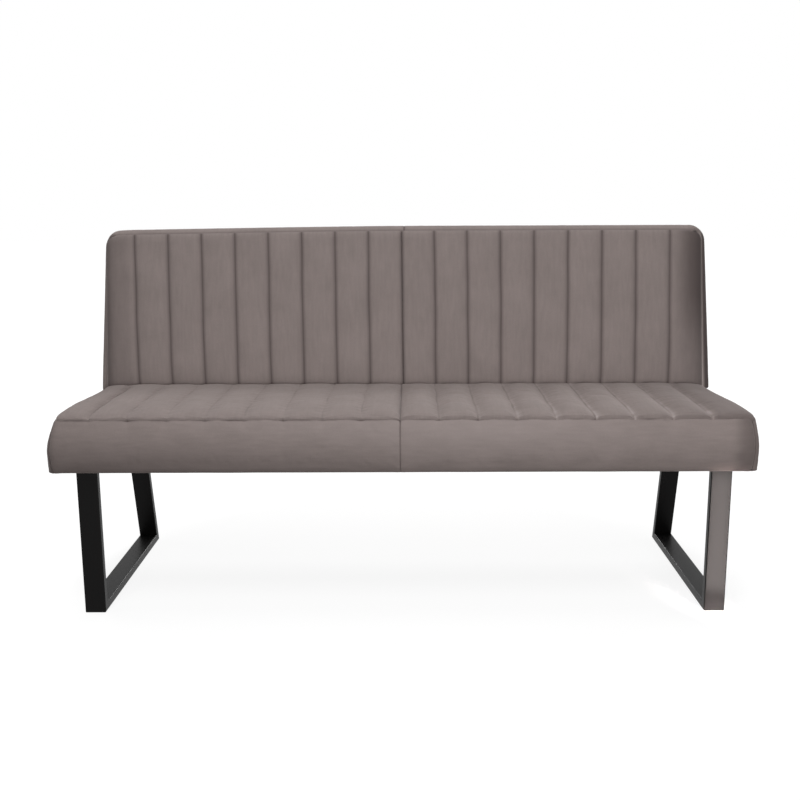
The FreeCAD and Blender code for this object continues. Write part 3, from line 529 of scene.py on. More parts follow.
@dataclass
class SeatPlan:
    """Outside of the seat block, read from the frame, with the form that its covers take."""

    front: float
    rear: float
    end: float
    hem: float
    seam: float
    crown: float
    corner_seam: float
    corner: float = 32.0 * MM
    roll: float = 28.0 * MM
    shoulder: float = 70.0 * MM
    end_lean: Pair[float] = Pair(15.0 * MM, 8.0 * MM)
    rear_lean: Ramp = Ramp(10.0 * MM, 0.12, 0.3)
    end_fall: Ramp = Ramp(6.0 * MM, 0.08, 0.3)
    drift: float = -8.5 * MM
    drift_fade: float = 120.0 * MM
    calm_middle: float = 20.0 * MM
    rear_round: float = 6.0 * MM
    seam_drop: float = 3.5 * MM
    quilt: float = 6.5 * MM
    ledge: float = 104.0 * MM
    pitch: float = 90.0 * MM
    seams_each_side: int = 8
    crowding: float = 0.75

    @classmethod
    def from_frame(cls) -> "SeatPlan":
        """Reads the seat's faces from its nodes.

        Returns:
            The plan.
        """
        band_low, band_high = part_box("seat_cover_front_right")
        end_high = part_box("seat_cover_end_right")[1]
        top_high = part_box("seat_cover_top_right")[1]
        rear_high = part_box("seat_cover_rear")[1]
        seam = band_high.z - cls.seam_drop
        return cls(band_low.y, rear_high.y, end_high.x, band_low.z, seam, top_high.z, band_high.x)

    @property
    def rise(self) -> float:
        """Swell of a channel above the seams beside it."""
        return self.crown - self.seam - self.quilt

    @property
    def back_face(self) -> float:
        """Where the face of the back stands on the seat."""
        return self.rear - self.ledge

    @property
    def last_seam(self) -> float:
        """Distance of the outermost channel seam from the middle."""
        return self.seams_each_side * self.pitch

    @property
    def front_inset(self) -> float:
        """How far the top seam lies behind the front."""
        return float(inset_of(self.roll, np.array(self.quilt)))

    def end_draw(self, side: Side, y: np.ndarray) -> np.ndarray:
        """How far an end leans in by the time it reaches the top seam.

        Args:
            side: which end.
            y: place in depth, since an end leans in more towards the rear.

        Returns:
            The lean at the top seam.
        """
        return self.end_lean.on(side) + self.rear_lean.at(y - self.front)

    def fall(self, y: np.ndarray) -> np.ndarray:
        """How far the top's end edges drop towards the rear."""
        return self.end_fall.at(y - self.front)

    def drifted(self, across: np.ndarray, edge: float) -> np.ndarray:
        """How far the seams stand off their even places: the cover was pulled on a little askew."""
        return self.drift * quarter((edge - across) / self.drift_fade)

    def nearest_seam(self, across: np.ndarray) -> np.ndarray:
        """Number of the nearest channel seam, counted from the middle."""
        return np.floor(across / self.pitch + 0.5)

    def outer_share(self, across: np.ndarray, edge: float) -> np.ndarray:
        """Rises from 0 at the outermost channel seam to 1 at the edge."""
        return np.clip((across - self.last_seam) / (edge - self.last_seam), 0.0, 1.0)

    def loose(self, across: np.ndarray, edge: float, fade: float) -> np.ndarray:
        """How free a seam is to wander, from 0 at the middle seam and at the edge to 1 away from them."""
        return quarter(across / self.calm_middle) * quarter((edge - across) / fade)

    def top_end(self, side: Side) -> float:
        """Width of half the top panel at its front."""
        return self.end - float(self.end_draw(side, np.array(self.front)))

    def channel_share(self, across: np.ndarray, edge: float) -> np.ndarray:
        """Where a place lies in its channel, from 0 at one seam to 1 at the next.

        Args:
            across: distance from the middle of the bench.
            edge: outer edge of the last channel.

        Returns:
            The share of the channel's width.
        """
        last, inside = self.last_seam, np.clip(across, 0.0, edge)
        return np.where(inside < last, (inside % self.pitch) / self.pitch, (inside - last) / (edge - last))

    def seam_distance(self, across: np.ndarray, edge: float) -> np.ndarray:
        """Distance from the nearest channel seam."""
        share = self.channel_share(across, edge)
        return np.minimum(share, 1.0 - share) * self.pitch

    def stuffed(self, across: np.ndarray, edge: float, fullness: float, rounding: float) -> np.ndarray:
        """Swell of the channels, the outer one rounded off towards the panel's edge.

        Args:
            across: distance from the middle of the bench.
            edge: outer edge of the last channel.
            fullness: how flat the channels are in the middle and how steep at their seams.
            rounding: width of the outer channel's rounding.

        Returns:
            0 on the seams, 1 on the crowns.
        """
        share = self.channel_share(across, edge)
        outer = (across > self.last_seam) & (share > 0.5)
        return np.where(outer, quarter((edge - across) / rounding), swell(share, fullness))

    def channel_lines(self, edge: float, count: int) -> np.ndarray:
        """Grid lines across a half panel, crowded beside the seams.

        Args:
            edge: outer edge of the last channel.
            count: strips in each channel.

        Returns:
            The lines' distances from the middle, in order.
        """
        seams = [number * self.pitch for number in range(self.seams_each_side + 1)] + [edge]
        warp = np.linspace(0.0, 1.0, count + 1)[:-1]
        warp = (1.0 - self.crowding) * warp + self.crowding * (0.5 - 0.5 * np.cos(math.pi * warp))
        lines = [start + warp * (stop - start) for start, stop in zip(seams, seams[1:])]
        return np.concatenate([-TURNED_IN[::-1], *lines, [edge], edge + TURNED_IN])


def swell(share: np.ndarray, fullness: float) -> np.ndarray:
    """Cross-section of a stuffed channel: 0 at its seams and 1 in its middle, fuller than a plain arc."""
    return 1.0 - np.abs(2.0 * share - 1.0) ** fullness


def near_seam(share: np.ndarray, width: float, reach: float) -> np.ndarray:
    """Fades from 1 on a channel's seams to 0 away from them.

    Args:
        share: place in the channel, from seam to seam.
        width: width of the channel.
        reach: distance over which it fades.

    Returns:
        The strength at each place.
    """
    away = np.minimum(share, 1.0 - share) * width
    return bell(away, reach)


@dataclass(frozen=True)
class Cloth:
    """How a sewn panel is let settle: air pressure and a little slack between its stitches."""

    pressure: float = 4.0
    slack: float = 0.004
    frames: int = 20
    cap: float = 1.2 * MM
    quality: int = 5
    mass: float = 0.0004
    tension: float = 12.0
    shear: float = 4.0
    bending: float = 0.05


@dataclass
class Panel:
    """One cut of velvet, sewn along its edges and channels and padded from behind."""

    name: str
    across: np.ndarray
    along: np.ndarray
    shape: Shape
    stitch: Shape
    outward: Arrow
    shade: Shape | None = None
    stitch_width: float = 0.2 * MM
    thickness: float = 2.5 * MM
    fill: float = 0.7
    nap_across: bool = False
    slot: str = "velvet"
    laid_on: tuple[str, ...] = ()

    def build(self, cloth: Cloth | None, finish: bpy.types.Material, *nodes: str) -> bpy.types.Object:
        """Cuts, sews, pads and dresses the panel.

        Args:
            cloth: how the panel settles, or nothing for a panel that is stretched flat.
            finish: the velvet.
            nodes: the CAD nodes that the panel stands for.

        Returns:
            The finished piece.
        """
        piece, across, along = self.cut_flat()
        base = self.shape(across, along)
        self.put(piece, base)
        self.face_outwards(piece)
        distance = self.stitch(across, along)
        sunken = stitch_shade(distance) if self.shade is None else self.shade(across, along)
        if cloth is not None:
            self.settle(piece, cloth, base, distance < self.stitch_width)
        # The seam attribute holds crushed seams and painted shade above 0, and painted highlights below 0
        mark = piece.data.attributes.new("seam", "FLOAT", "POINT")
        mark.data.foreach_set("value", np.clip(sunken, -1.0, 1.0).astype(np.float32))
        self.thicken(piece)
        piece.data.materials.clear()
        piece.data.materials.append(finish)
        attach(piece, ROOT)
        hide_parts(*nodes)
        log.info("%s: %d faces", piece.name, len(piece.data.polygons))
        return piece

    def cut_flat(self) -> tuple[bpy.types.Object, np.ndarray, np.ndarray]:
        """Adds a grid and gives it the panel's flat cloth measures as its UV map.

        Returns:
            The piece and, for each of its points, the place across and along the cloth.
        """
        bpy.ops.object.select_all(action="DESELECT")
        bpy.ops.mesh.primitive_grid_add(
            x_subdivisions=len(self.across) - 1, y_subdivisions=len(self.along) - 1,
            size=1.0, calc_uvs=True,
        )
        piece = bpy.context.object
        piece.name = self.name
        points = np.zeros(len(piece.data.vertices) * 3)
        piece.data.vertices.foreach_get("co", points)
        share = points.reshape(-1, 3) + 0.5
        across = self.across[np.rint(share[:, 0] * (len(self.across) - 1)).astype(int)]
        along = self.along[np.rint(share[:, 1] * (len(self.along) - 1)).astype(int)]
        corner = np.zeros(len(piece.data.loops), dtype=int)
        piece.data.loops.foreach_get("vertex_index", corner)
        flat = np.stack([across[corner], along[corner]], axis=1)
        if self.nap_across:
            flat = flat[:, ::-1]
        piece.data.uv_layers.active.data.foreach_set("uv", flat.ravel())
        return piece, across, along

    @staticmethod
    def put(piece: bpy.types.Object, points: np.ndarray) -> None:
        """Moves the piece's points to their places."""
        piece.data.vertices.foreach_set("co", points.astype(np.float32).ravel())
        piece.data.update()

    def face_outwards(self, piece: bpy.types.Object) -> None:
        """Turns the cloth's face to the outside.

        Args:
            piece: the panel's single layer.
        """
        normals = np.zeros(len(piece.data.polygons) * 3)
        piece.data.polygons.foreach_get("normal", normals)
        if normals.reshape(-1, 3).mean(axis=0) @ np.array(self.outward) < 0.0:
            piece.data.flip_normals()

    @staticmethod
    def settle(piece: bpy.types.Object, cloth: Cloth, base: np.ndarray, sewn: np.ndarray) -> None:
        """Lets the cloth swell between its stitches, and keeps each point near where it started.

        Args:
            piece: the panel's single layer.
            cloth: how it settles.
            base: its points before.
            sewn: which points are on the stitching and held still.
        """
        held = piece.vertex_groups.new(name="stitched")
        held.add([int(number) for number in np.nonzero(sewn)[0]], 1.0, "REPLACE")
        swelling = piece.modifiers.new("Swelling", "CLOTH")
        settings = swelling.settings
        settings.quality = cloth.quality
        settings.mass = cloth.mass
        settings.tension_stiffness = cloth.tension
        settings.compression_stiffness = cloth.tension
        settings.shear_stiffness = cloth.shear
        settings.bending_stiffness = cloth.bending
        settings.use_pressure = True
        settings.uniform_pressure_force = cloth.pressure
        settings.shrink_min = -cloth.slack
        settings.vertex_group_mass = held.name
        settings.effector_weights.gravity = 0.0
        swelling.collision_settings.use_collision = False
        for number in range(1, cloth.frames + 1):
            bpy.context.scene.frame_set(number)
        bpy.ops.object.modifier_apply(modifier=swelling.name)
        bpy.context.scene.frame_set(1)
        piece.vertex_groups.clear()
        points = np.zeros(len(base) * 3)
        piece.data.vertices.foreach_get("co", points)
        move = points.reshape(-1, 3) - base
        length = np.linalg.norm(move, axis=1, keepdims=True)
        log.info("%s settled by %.1f mm at most, %.2f mm on average",
                 piece.name, length.max() / MM, length.mean() / MM)
        Panel.put(piece, base + move * np.minimum(1.0, cloth.cap / np.maximum(length, 1e-9)))

    def thicken(self, piece: bpy.types.Object) -> None:
        """Gives the cloth and its wadding their thickness, then rounds it.

        Args:
            piece: the panel's single layer.
        """
        wall = piece.modifiers.new("Wall", "SOLIDIFY")
        wall.thickness = self.thickness
        wall.offset = -1.0
        bpy.ops.object.modifier_apply(modifier=wall.name)
        rounding = piece.modifiers.new("Rounding", "SUBSURF")
        rounding.levels = 1
        rounding.render_levels = 1
        bpy.ops.object.modifier_apply(modifier=rounding.name)
        bpy.ops.object.shade_smooth()


@dataclass
class SeatCover:
    """The seat's velvet: two quilted top panels, two front bands, two end panels and a rear band.

    Shades, shares and strengths run from 0 to 1. A shade below 0 is a painted highlight.
    """

    plan: SeatPlan
    finish: bpy.types.Material
    # Grid lines: strips in a channel and steps along and up the panels
    strips: int = 12
    front_step: float = 7.0 * MM
    end_step: float = 8.0 * MM
    rise_step: float = 4.5 * MM
    rear_step: float = 11.0 * MM
    rear_rise_step: float = 7.0 * MM
    top_step: float = 6.5 * MM
    corner_wrap: float = 30.0 * MM
    corner_lines: int = 12
    tight: Cloth = Cloth(slack=0.001, cap=0.6 * MM)
    # Upright skin: its swell, the ends' flare above the hem, the hem drawn in and turned under
    bulge: float = 6.0 * MM
    crest: float = 0.46
    flare: Pair[float] = Pair(10.0 * MM, 4.0 * MM)
    flare_fade: Ramp = Ramp(1.0, 45.0 * MM, 65.0 * MM)
    end_bulge: float = 0.5 * MM
    end_belly: float = 0.75
    rear_bulge: float = 2.0 * MM
    hem_draw: float = 6.0 * MM
    hem_round: float = 16.0 * MM
    hem_drop: float = 5.5 * MM
    turned_under: tuple[float, ...] = (-14.0 * MM, -9.0 * MM, -6.0 * MM, -3.0 * MM)
    hem_held: float = 0.5 * MM
    # Front seam: each channel's end pushes it out and each channel's seam pulls it in
    scallop: Pair[float] = Pair(1.5 * MM, 3.0 * MM)
    scallop_fullness: float = 1.6
    scallop_middle: float = 0.55
    scallop_down: float = 9.0 * MM
    scallop_back: float = 11.0 * MM
    scallop_lift: float = 0.3
    seam_pull: Pair[float] = Pair(0.28, 0.1)
    pull_waver: Waver = Waver(0.3, 95.0 * MM, 7)
    dimple: float = 1.6 * MM
    dimple_wide: float = 9.0 * MM
    dimple_tall: float = 12.0 * MM
    middle_tuck: float = 1.5 * MM
    front_tuck: float = 0.8 * MM
    # Pull lines in the bands, which die out near the stitching
    edge_calm: float = 30.0 * MM
    band_fine: Crease = Crease(0.2 * MM, 70.0 * MM, 15.0 * MM, 11)
    band_broad: Crease = Crease(0.8 * MM, 300.0 * MM, 170.0 * MM, 31)
    end_pull: Crease = Crease(0.4 * MM, 120.0 * MM, 15.0 * MM, 31)
    rear_pull: Crease = Crease(0.5 * MM, 180.0 * MM, 17.0 * MM, 41)
    # Channels of the top: their stuffing, the left half's flatter seams, and unevenness
    fullness: float = 3.0
    end_round: float = 36.0 * MM
    end_edge: float = 9.0 * MM
    rear_edge: float = 6.0 * MM
    least_crown: float = 0.2 * MM
    spare_cloth: float = 8.0 * MM
    settled: Pair[Ramp] = Pair(Ramp(0.6, 0.0, 35.0 * MM), Ramp(0.0, 0.0, 35.0 * MM))
    valley_front: float = 0.35
    valley_rise: Ramp = Ramp(0.65, 0.0, 45.0 * MM)
    wander: Waver = Waver(1.1 * MM, 210.0 * MM, 51, 0.7)
    wander_fade: float = 60.0 * MM
    uneven: Waver = Waver(0.07, 160.0 * MM, 57, 3.1)
    pucker: Waver = Waver(0.55 * MM, 17.0 * MM, 61, 0.31)
    pucker_wide: float = 13.0 * MM
    pucker_start: float = 30.0 * MM
    # Nose: a channel's front end stands up from the front seam and rolls back to its crown
    nose: float = 90.0 * MM
    nose_low: Pair[float] = Pair(0.28, 0.54)
    nose_rise: float = 5.0 * MM
    nose_fall: float = 280.0 * MM
    nose_slack: float = 0.25
    overhang: float = 1.0 * MM
    # Under the back the channels are pressed flat
    pressed: Ramp = Ramp(1.0, -22.0 * MM, 20.0 * MM)
    # Lines of the top's grid: over the nose and at the rear edge in millimetres, the rest by their ends
    nose_lines: tuple[float, ...] = (
        -5.0, -2.0, 0.0, 1.0, 2.5, 4.5, 7.0, 9.5, 12.0, 14.5, 17.0, 19.5, 22.5, 26.0,
    )
    rear_lines: tuple[float, ...] = (6.0, 3.0, 1.2, 0.0, -2.0, -5.0)
    sitting_ends: tuple[float, float] = (31.0 * MM, 14.0 * MM)
    hidden_ends: tuple[float, float] = (26.0 * MM, 10.0 * MM)
    hidden_count: int = 7
    # Shades of the seams: crushed pile with painted shade; a value below 0 stands for a painted highlight
    band_middle_shade: float = 0.45
    top_middle_shade: float = 0.5
    corner_seam_shade: Pair[float] = Pair(0.25, -0.3)
    channel_shade: Pair[float] = Pair(0.12, 0.3)
    channel_waver: Waver = Waver(0.15, 130.0 * MM, 66, 0.43)
    # Painted shade: the left band darkens towards its corner, the right one has a dark patch there, the ends
    # and the top's right end are darker; painted light lies on the middle of the bands
    corner_shade: Spot = Spot(0.5, 0.0, 13.0 * MM)
    corner_top: float = 1.1
    lean_shade: tuple[float, float] = (0.05, 0.33)
    lean_top: float = 1.05
    patch_shade: float = 0.46
    patch_wide: float = 55.0 * MM
    patch_fade: float = 34.0 * MM
    patch_edge: Waver = Waver(7.0 * MM, 60.0 * MM, 15)
    band_light: Pair[Spot] = Pair(Spot(0.2, -0.2, 0.6), Spot(0.2, 0.2, 0.34))
    end_shade: Pair[float] = Pair(0.8, 0.34)
    end_shade_top: float = 1.15
    top_shade: Ramp = Ramp(0.42, 0.55, 0.27)
    # Painted highlight beside the right half's channel seams, strongest over the nose and towards the end
    pile_lift: float = 0.6
    lift_least: float = 0.35
    lift_ahead: Spot = Spot(0.65, 50.0 * MM, 90.0 * MM)
    lift_beside: float = 3.0 * MM
    lift_thin: float = 2.5 * MM
    lift_wide: Spot = Spot(3.0 * MM, 45.0 * MM, 35.0 * MM)
    lift_outwards: Ramp = Ramp(1.0, 0.0, 0.45)
    lift_waver: Waver = Waver(0.4, 70.0 * MM, 69, 0.6)

    def build(self) -> None:
        """Makes every panel of the seat."""
        for side in Side:
            self.top_panel(side)
            self.front_band(side)
            self.end_panel(side)
        self.rear_band()

    @property
    def low(self) -> float:
        """Height of the hem's lowest line."""
        return self.plan.hem - self.hem_drop

    @property
    def tall(self) -> float:
        """Height of the upright bands from hem to top seam."""
        return self.plan.seam - self.low

    @property
    def corner_path(self) -> float:
        """Where the corner seam is on the way round the outline.

        Returns:
            The distance round the outline from the middle of the front.
        """
        plan = self.plan
        turn = math.asin(1.0 - (plan.end - plan.corner_seam) / plan.corner)
        return plan.end - plan.corner + plan.corner * turn

    def profile_inset(self, side: Side, y: np.ndarray, up: np.ndarray, turn: np.ndarray) -> np.ndarray:
        """How far the seat's upright skin lies inside its outline.

        Args:
            side: which half.
            y: place in depth.
            up: height above the hem.
            turn: 0 on the front, 1 on an end, between them round the corner.

        Returns:
            The inset, less the swell of the padding.
        """
        plan = self.plan
        above = np.clip((up / self.tall - self.crest) / (1.0 - self.crest), 0.0, 1.0)
        below = np.clip(1.0 - up / self.tall / self.crest, 0.0, 1.0)
        front = (plan.front_inset + self.bulge) * above ** 2 + (self.hem_draw + self.bulge) * below ** 2
        front = front - self.bulge + self.hem_draw * (1.0 - quarter(up / self.hem_round))
        drawn = leaned_in(plan.end_draw(side, y), self.tall - plan.shoulder, up - plan.shoulder)
        padded = hump(np.clip(up / self.tall, 0.0, 1.0) ** self.end_belly)
        end = drawn - self.end_bulge * padded - self.flare.on(side) * (1.0 - self.flare_fade.at(up))
        return front + (end - front) * ease(turn)

    def outline(self, path: np.ndarray) -> tuple[np.ndarray, np.ndarray, np.ndarray]:
        """The seat seen from above, followed from the middle of its front round the corner and along an end.

        Args:
            path: distance from the middle of the front.

        Returns:
            Place across, place in depth, and the turn in radians that the outward direction has made.
        """
        plan = self.plan
        straight = plan.end - plan.corner
        bend = plan.corner * QUARTER_TURN
        turn = np.clip((path - straight) / plan.corner, 0.0, QUARTER_TURN)
        x = np.clip(path, 0.0, straight) + plan.corner * np.sin(turn)
        y = plan.front + plan.corner * (1.0 - np.cos(turn)) + np.clip(path - straight - bend, 0.0, None)
        return x, y, turn

    def scalloped(self, side: Side, across: np.ndarray) -> np.ndarray:
        """How far each channel's end pushes the front seam out, and each channel's seam pulls it in.

        Args:
            side: which half.
            across: distance from the middle.

        Returns:
            The push, below 0 for a pull.
        """
        share = self.plan.channel_share(across, self.plan.top_end(side))
        return self.scallop.on(side) * (swell(share, self.scallop_fullness) - self.scallop_middle)

    def band_height(self, up: np.ndarray) -> np.ndarray:
        """Height of a band's skin; below the hem the cloth is turned under the seat.

        Args:
            up: height above the hem, below 0 past it.

        Returns:
            Heights in the frame.
        """
        under = np.clip(-up, 0.0, None)
        return self.low + np.clip(up, 0.0, self.tall) + self.hem_drop * ease(under / self.hem_round)

    def skin(self, side: Side, path: np.ndarray, up: np.ndarray, tuck: np.ndarray) -> np.ndarray:
        """Points of the upright skin round the front and an end.

        Args:
            side: which half.
            path: distance round the outline.
            up: height above the hem.
            tuck: how deep the cloth is pulled in there.

        Returns:
            Points in the frame.
        """
        x, y, turn = self.outline(path)
        inset = self.profile_inset(side, y, up, turn / QUARTER_TURN) + tuck + np.clip(-up, 0.0, None)
        push = self.scalloped(side, path) * bell(self.tall - up, self.scallop_down) * np.cos(turn)
        height = self.band_height(up) + self.scallop_lift * push
        height = height - self.plan.fall(y) * np.clip(up / self.tall, 0.0, 1.0) * np.sin(turn)
        across = side.value * (x - inset * np.sin(turn)) + self.plan.drifted(path, self.plan.end)
        return np.stack([across, y + inset * np.cos(turn) - push, height], axis=-1)

    def band_lines(self, step: float) -> np.ndarray:
        """Grid lines up a band: the hem turned under, the face and the top seam's allowance."""
        return np.concatenate([self.turned_under, grid_lines(self.tall, step)[ALLOWANCE_LINES:]])

    def band_stitch(self, edge: np.ndarray, up: np.ndarray) -> np.ndarray:
        """Distance from a band's stitching, with the hem held where it is stapled under the frame."""
        return np.where(up < self.hem_held, 0.0, np.minimum(edge, self.tall - up))

    def front_pull(self, side: Side, across: np.ndarray) -> np.ndarray:
        """How hard the front seam pulls: it comes and goes along the front, and less on the right."""
        return np.clip(self.seam_pull.on(side) + self.pull_waver.at(across, side.value), 0.0, 1.0)

    def band_brushing(self, side: Side, across: np.ndarray, up: np.ndarray) -> np.ndarray:
        """Painted shade of a front band towards its corner.

        Args:
            side: which half.
            across: distance from the middle.
            up: height above the hem.

        Returns:
            The shade.
        """
        reach, share = self.corner_path, up / self.tall
        if side is Side.LEFT:
            corner = self.corner_shade.at(reach - across) * ease(self.corner_top - share)
            leaned = self.lean_shade[0] + self.lean_shade[1] * across / reach
            return np.maximum(corner, leaned * ease(self.lean_top - share))
        start = reach - self.patch_wide + self.patch_edge.at(up)
        patch = self.patch_shade * ease((across - start) / self.patch_fade)
        return patch * (1.0 - stitch_shade(reach - across))

    def front_band(self, side: Side) -> None:
        """Makes the plain band across half of the front.

        Args:
            side: which half.
        """
        plan, tall, reach = self.plan, self.tall, self.corner_path

        def shape(across: np.ndarray, up: np.ndarray) -> np.ndarray:
            """Points of the band's face.

            Args:
                across: distance from the middle.
                up: height above the hem.

            Returns:
                Points in the frame.
            """
            edges = tucked(across, self.middle_tuck) + tucked(reach - across, self.middle_tuck)
            edges = edges + tucked(tall - up, self.front_tuck) * self.front_pull(side, across)
            inner = quarter(np.minimum(np.minimum(across, reach - across), tall - up) / self.edge_calm)
            pull = self.band_fine.at(across, up, side.value) * inner
            pull = pull + self.band_broad.at(up, across, side.value) * inner
            share = plan.channel_share(across, plan.top_end(side))
            dimple = near_seam(share, plan.pitch, self.dimple_wide)
            dimple = dimple * np.exp(-np.abs(tall - up) / self.dimple_tall)
            return self.skin(side, np.clip(across, 0.0, reach), up, edges + pull + self.dimple * dimple)

        def stitch(across: np.ndarray, up: np.ndarray) -> np.ndarray:
            """Distance from the band's stitching."""
            return self.band_stitch(np.minimum(across, reach - across), up)

        def shade(across: np.ndarray, up: np.ndarray) -> np.ndarray:
            """Darkness of the seams and painted shade towards the corner, less painted light on the middle of
            the band.

            Args:
                across: distance from the middle.
                up: height above the hem.

            Returns:
                The shade.
            """
            seams = self.band_middle_shade * stitch_shade(across)
            seams = seams + self.corner_seam_shade.on(side) * stitch_shade(reach - across)
            seams = seams + stitch_shade(tall - up) * self.front_pull(side, across)
            # Painted light on the middle of the band
            light = self.band_light.on(side).at(across) * ease(up / tall)
            return np.maximum(seams, self.band_brushing(side, across, up)) - light * (1.0 - seams)

        lines, rises = grid_lines(reach, self.front_step), self.band_lines(self.rise_step)
        panel = Panel(f"seat_front_band_{side.word}", lines, rises, shape, stitch, FORWARD, shade)
        panel.nap_across = True
        panel.build(Cloth(), self.finish, f"seat_cover_front_{side.word}")

    def end_panel(self, side: Side) -> None:
        """Makes the panel that wraps a front corner and closes one end.

        Args:
            side: which end.
        """
        plan, tall, start = self.plan, self.tall, self.corner_path
        bend = plan.corner * QUARTER_TURN
        length = plan.end - plan.corner + bend + (plan.rear - plan.front - plan.corner) - start

        def shape(along: np.ndarray, up: np.ndarray) -> np.ndarray:
            """Points of the panel's face.

            Args:
                along: distance from the corner seam.
                up: height above the hem.

            Returns:
                Points in the frame.
            """
            edges = tucked(along) + tucked(length - along) + tucked(tall - up)
            inner = quarter(np.minimum(np.minimum(along, length - along), tall - up) / self.edge_calm)
            pull = self.end_pull.at(along, up, side.value) * inner
            return self.skin(side, start + np.clip(along, 0.0, length), up, edges + pull)

        def stitch(along: np.ndarray, up: np.ndarray) -> np.ndarray:
            """Distance from the panel's stitching."""
            return self.band_stitch(np.minimum(along, length - along), up)

        def shade(along: np.ndarray, up: np.ndarray) -> np.ndarray:
            """Darkness of the seams and of the end's painted shade, which on the left fades upwards.

            Args:
                along: distance from the corner seam.
                up: height above the hem.

            Returns:
                The shade.
            """
            fade = 1.0 if side is Side.RIGHT else ease(self.end_shade_top - up / tall)
            return np.maximum(stitch_shade(stitch(along, np.maximum(up, MM))), self.end_shade.on(side) * fade)

        lines = grid_lines(length, self.end_step)
        wrap = np.linspace(TUCK_WIDTH, self.corner_wrap, self.corner_lines)
        beyond = lines[lines > self.corner_wrap + 2.0 * MM]
        around = np.concatenate([lines[lines < TUCK_WIDTH], wrap, beyond])
        outward = (float(side.value), 0.0, 0.0)
        rises = self.band_lines(self.rise_step)
        panel = Panel(f"seat_end_panel_{side.word}", around, rises, shape, stitch, outward, shade)
        panel.build(self.tight, self.finish, f"seat_cover_end_{side.word}")

    def rear_band(self) -> None:
        """Makes the plain band along the rear."""
        plan, tall, half = self.plan, self.tall, self.plan.end

        def shape(across: np.ndarray, up: np.ndarray) -> np.ndarray:
            """Points of the band's face.

            Args:
                across: distance from the left end.
                up: height above the hem.

            Returns:
                Points in the frame.
            """
            x = np.clip(across - half, -half, half)
            edge = half - np.abs(across - half)
            share = np.clip(up / tall, 0.0, 1.0)
            inset = inset_of(plan.rear_round, tall + plan.quilt - up) + tucked(edge) + tucked(tall - up)
            inset = inset + np.clip(-up, 0.0, None) - self.rear_bulge * hump(share)
            inset = inset + self.rear_pull.at(across, up) * quarter(edge / self.edge_calm)
            rear, end_on = np.array(plan.rear), np.array(1.0)
            narrow = np.where(x < 0.0, *(self.profile_inset(end, rear, up, end_on) for end in Side))
            height = self.band_height(up) - plan.fall(rear) * share * plan.outer_share(np.abs(x), half)
            return np.stack([x * (half - narrow) / half, plan.rear - inset, height], axis=-1)

        def stitch(across: np.ndarray, up: np.ndarray) -> np.ndarray:
            """Distance from the band's stitching."""
            return self.band_stitch(half - np.abs(across - half), up)

        lines, rises = grid_lines(2.0 * half, self.rear_step), self.band_lines(self.rear_rise_step)
        panel = Panel("seat_rear_band", lines, rises, shape, stitch, BACKWARD)
        panel.build(None, self.finish, "seat_cover_rear")

    def top_panel(self, side: Side) -> None:
        """Makes half of the quilted top, with its channels running front to rear.

        Args:
            side: which half.
        """
        plan = self.plan
        edge = plan.top_end(side)
        start = plan.front + plan.front_inset
        depth = plan.rear - plan.rear_round - start
        back = plan.back_face - start
        cloth = depth + self.spare_cloth

        def shape(across: np.ndarray, along: np.ndarray) -> np.ndarray:
            """Points of the top's face.

            Args:
                across: distance from the middle.
                along: distance along the cloth from the front seam.

            Returns:
                Points in the frame.
            """
            rows = plan.nearest_seam(across)
            full = plan.stuffed(across, edge, self.fullness, self.end_round)
            settled = self.settled.on(side).at(across)
            full = np.where(across < plan.last_seam, full + settled * (1.0 - full), full)
            uneven = 1.0 + self.uneven.at(along, 0, np.floor(across / plan.pitch))
            valley = plan.quilt * (self.valley_front + self.valley_rise.at(along))
            crown = (plan.quilt + plan.rise * uneven) * full + valley * (1.0 - full)
            crown = np.maximum(crown * quarter((edge - across) / self.end_edge), self.least_crown)
            outer = plan.outer_share(across, edge)
            raised = self.nose_rise * full * (1.0 - outer)
            low = self.nose_low.on(side) * (crown + raised)
            high = crown + raised - low
            over = self.overhang * full
            roll_length = self.nose + self.nose_slack * high
            under = np.clip(along / low, 0.0, 1.0)
            roll = QUARTER_TURN * np.clip((along - low) / roll_length, 0.0, 1.0)
            past = np.clip(along - low - roll_length, 0.0, None)
            flat = (depth + over - self.nose) / (cloth - low - roll_length)
            inward = self.nose * (1.0 - np.cos(roll)) - over * np.sin(QUARTER_TURN * under) + past * flat
            height = low * under + high * np.sin(roll) - raised * ease((inward - self.nose) / self.nose_fall)
            pressed = self.pressed.at(inward - back)
            height = height - np.clip(crown - plan.quilt, 0.0, None) * pressed
            height = height * quarter((depth - inward) / self.rear_edge)
            pucker = near_seam(plan.channel_share(across, edge), plan.pitch, self.pucker_wide)
            pucker = pucker * (1.0 - pressed) * full * quarter(along / self.pucker_start)
            height = height + self.pucker.at(along, side.value, rows) * pucker
            tuck = tucked(edge - across) + tucked(cloth - along) + tucked(across, self.middle_tuck)
            tuck = tuck + np.clip(-along, 0.0, None) + self.front_tuck * (1.0 - quarter(along / TUCK_WIDTH))
            push = self.scalloped(side, across) * bell(along, self.scallop_back)
            y = start + np.minimum(inward, depth) - push
            drawn = plan.end_draw(side, y) - plan.end_draw(side, np.array(plan.front))
            drawn = drawn + inset_of(plan.corner - plan.front_inset, np.clip(inward, 0.0, None))
            wander = self.wander.at(along, side.value, rows) * plan.loose(across, edge, self.wander_fade)
            x = side.value * (np.clip(across, 0.0, edge) + wander - drawn * outer)
            z = plan.seam + height - tuck + self.scallop_lift * push - plan.fall(y) * outer
            return np.stack([x + plan.drifted(across, edge), y, z], axis=-1)

        def stitch(across: np.ndarray, along: np.ndarray) -> np.ndarray:
            """Distance from the top's edges and channel seams."""
            border = np.minimum(np.minimum(edge - across, cloth - along), along)
            return np.minimum(border, plan.seam_distance(across, edge))

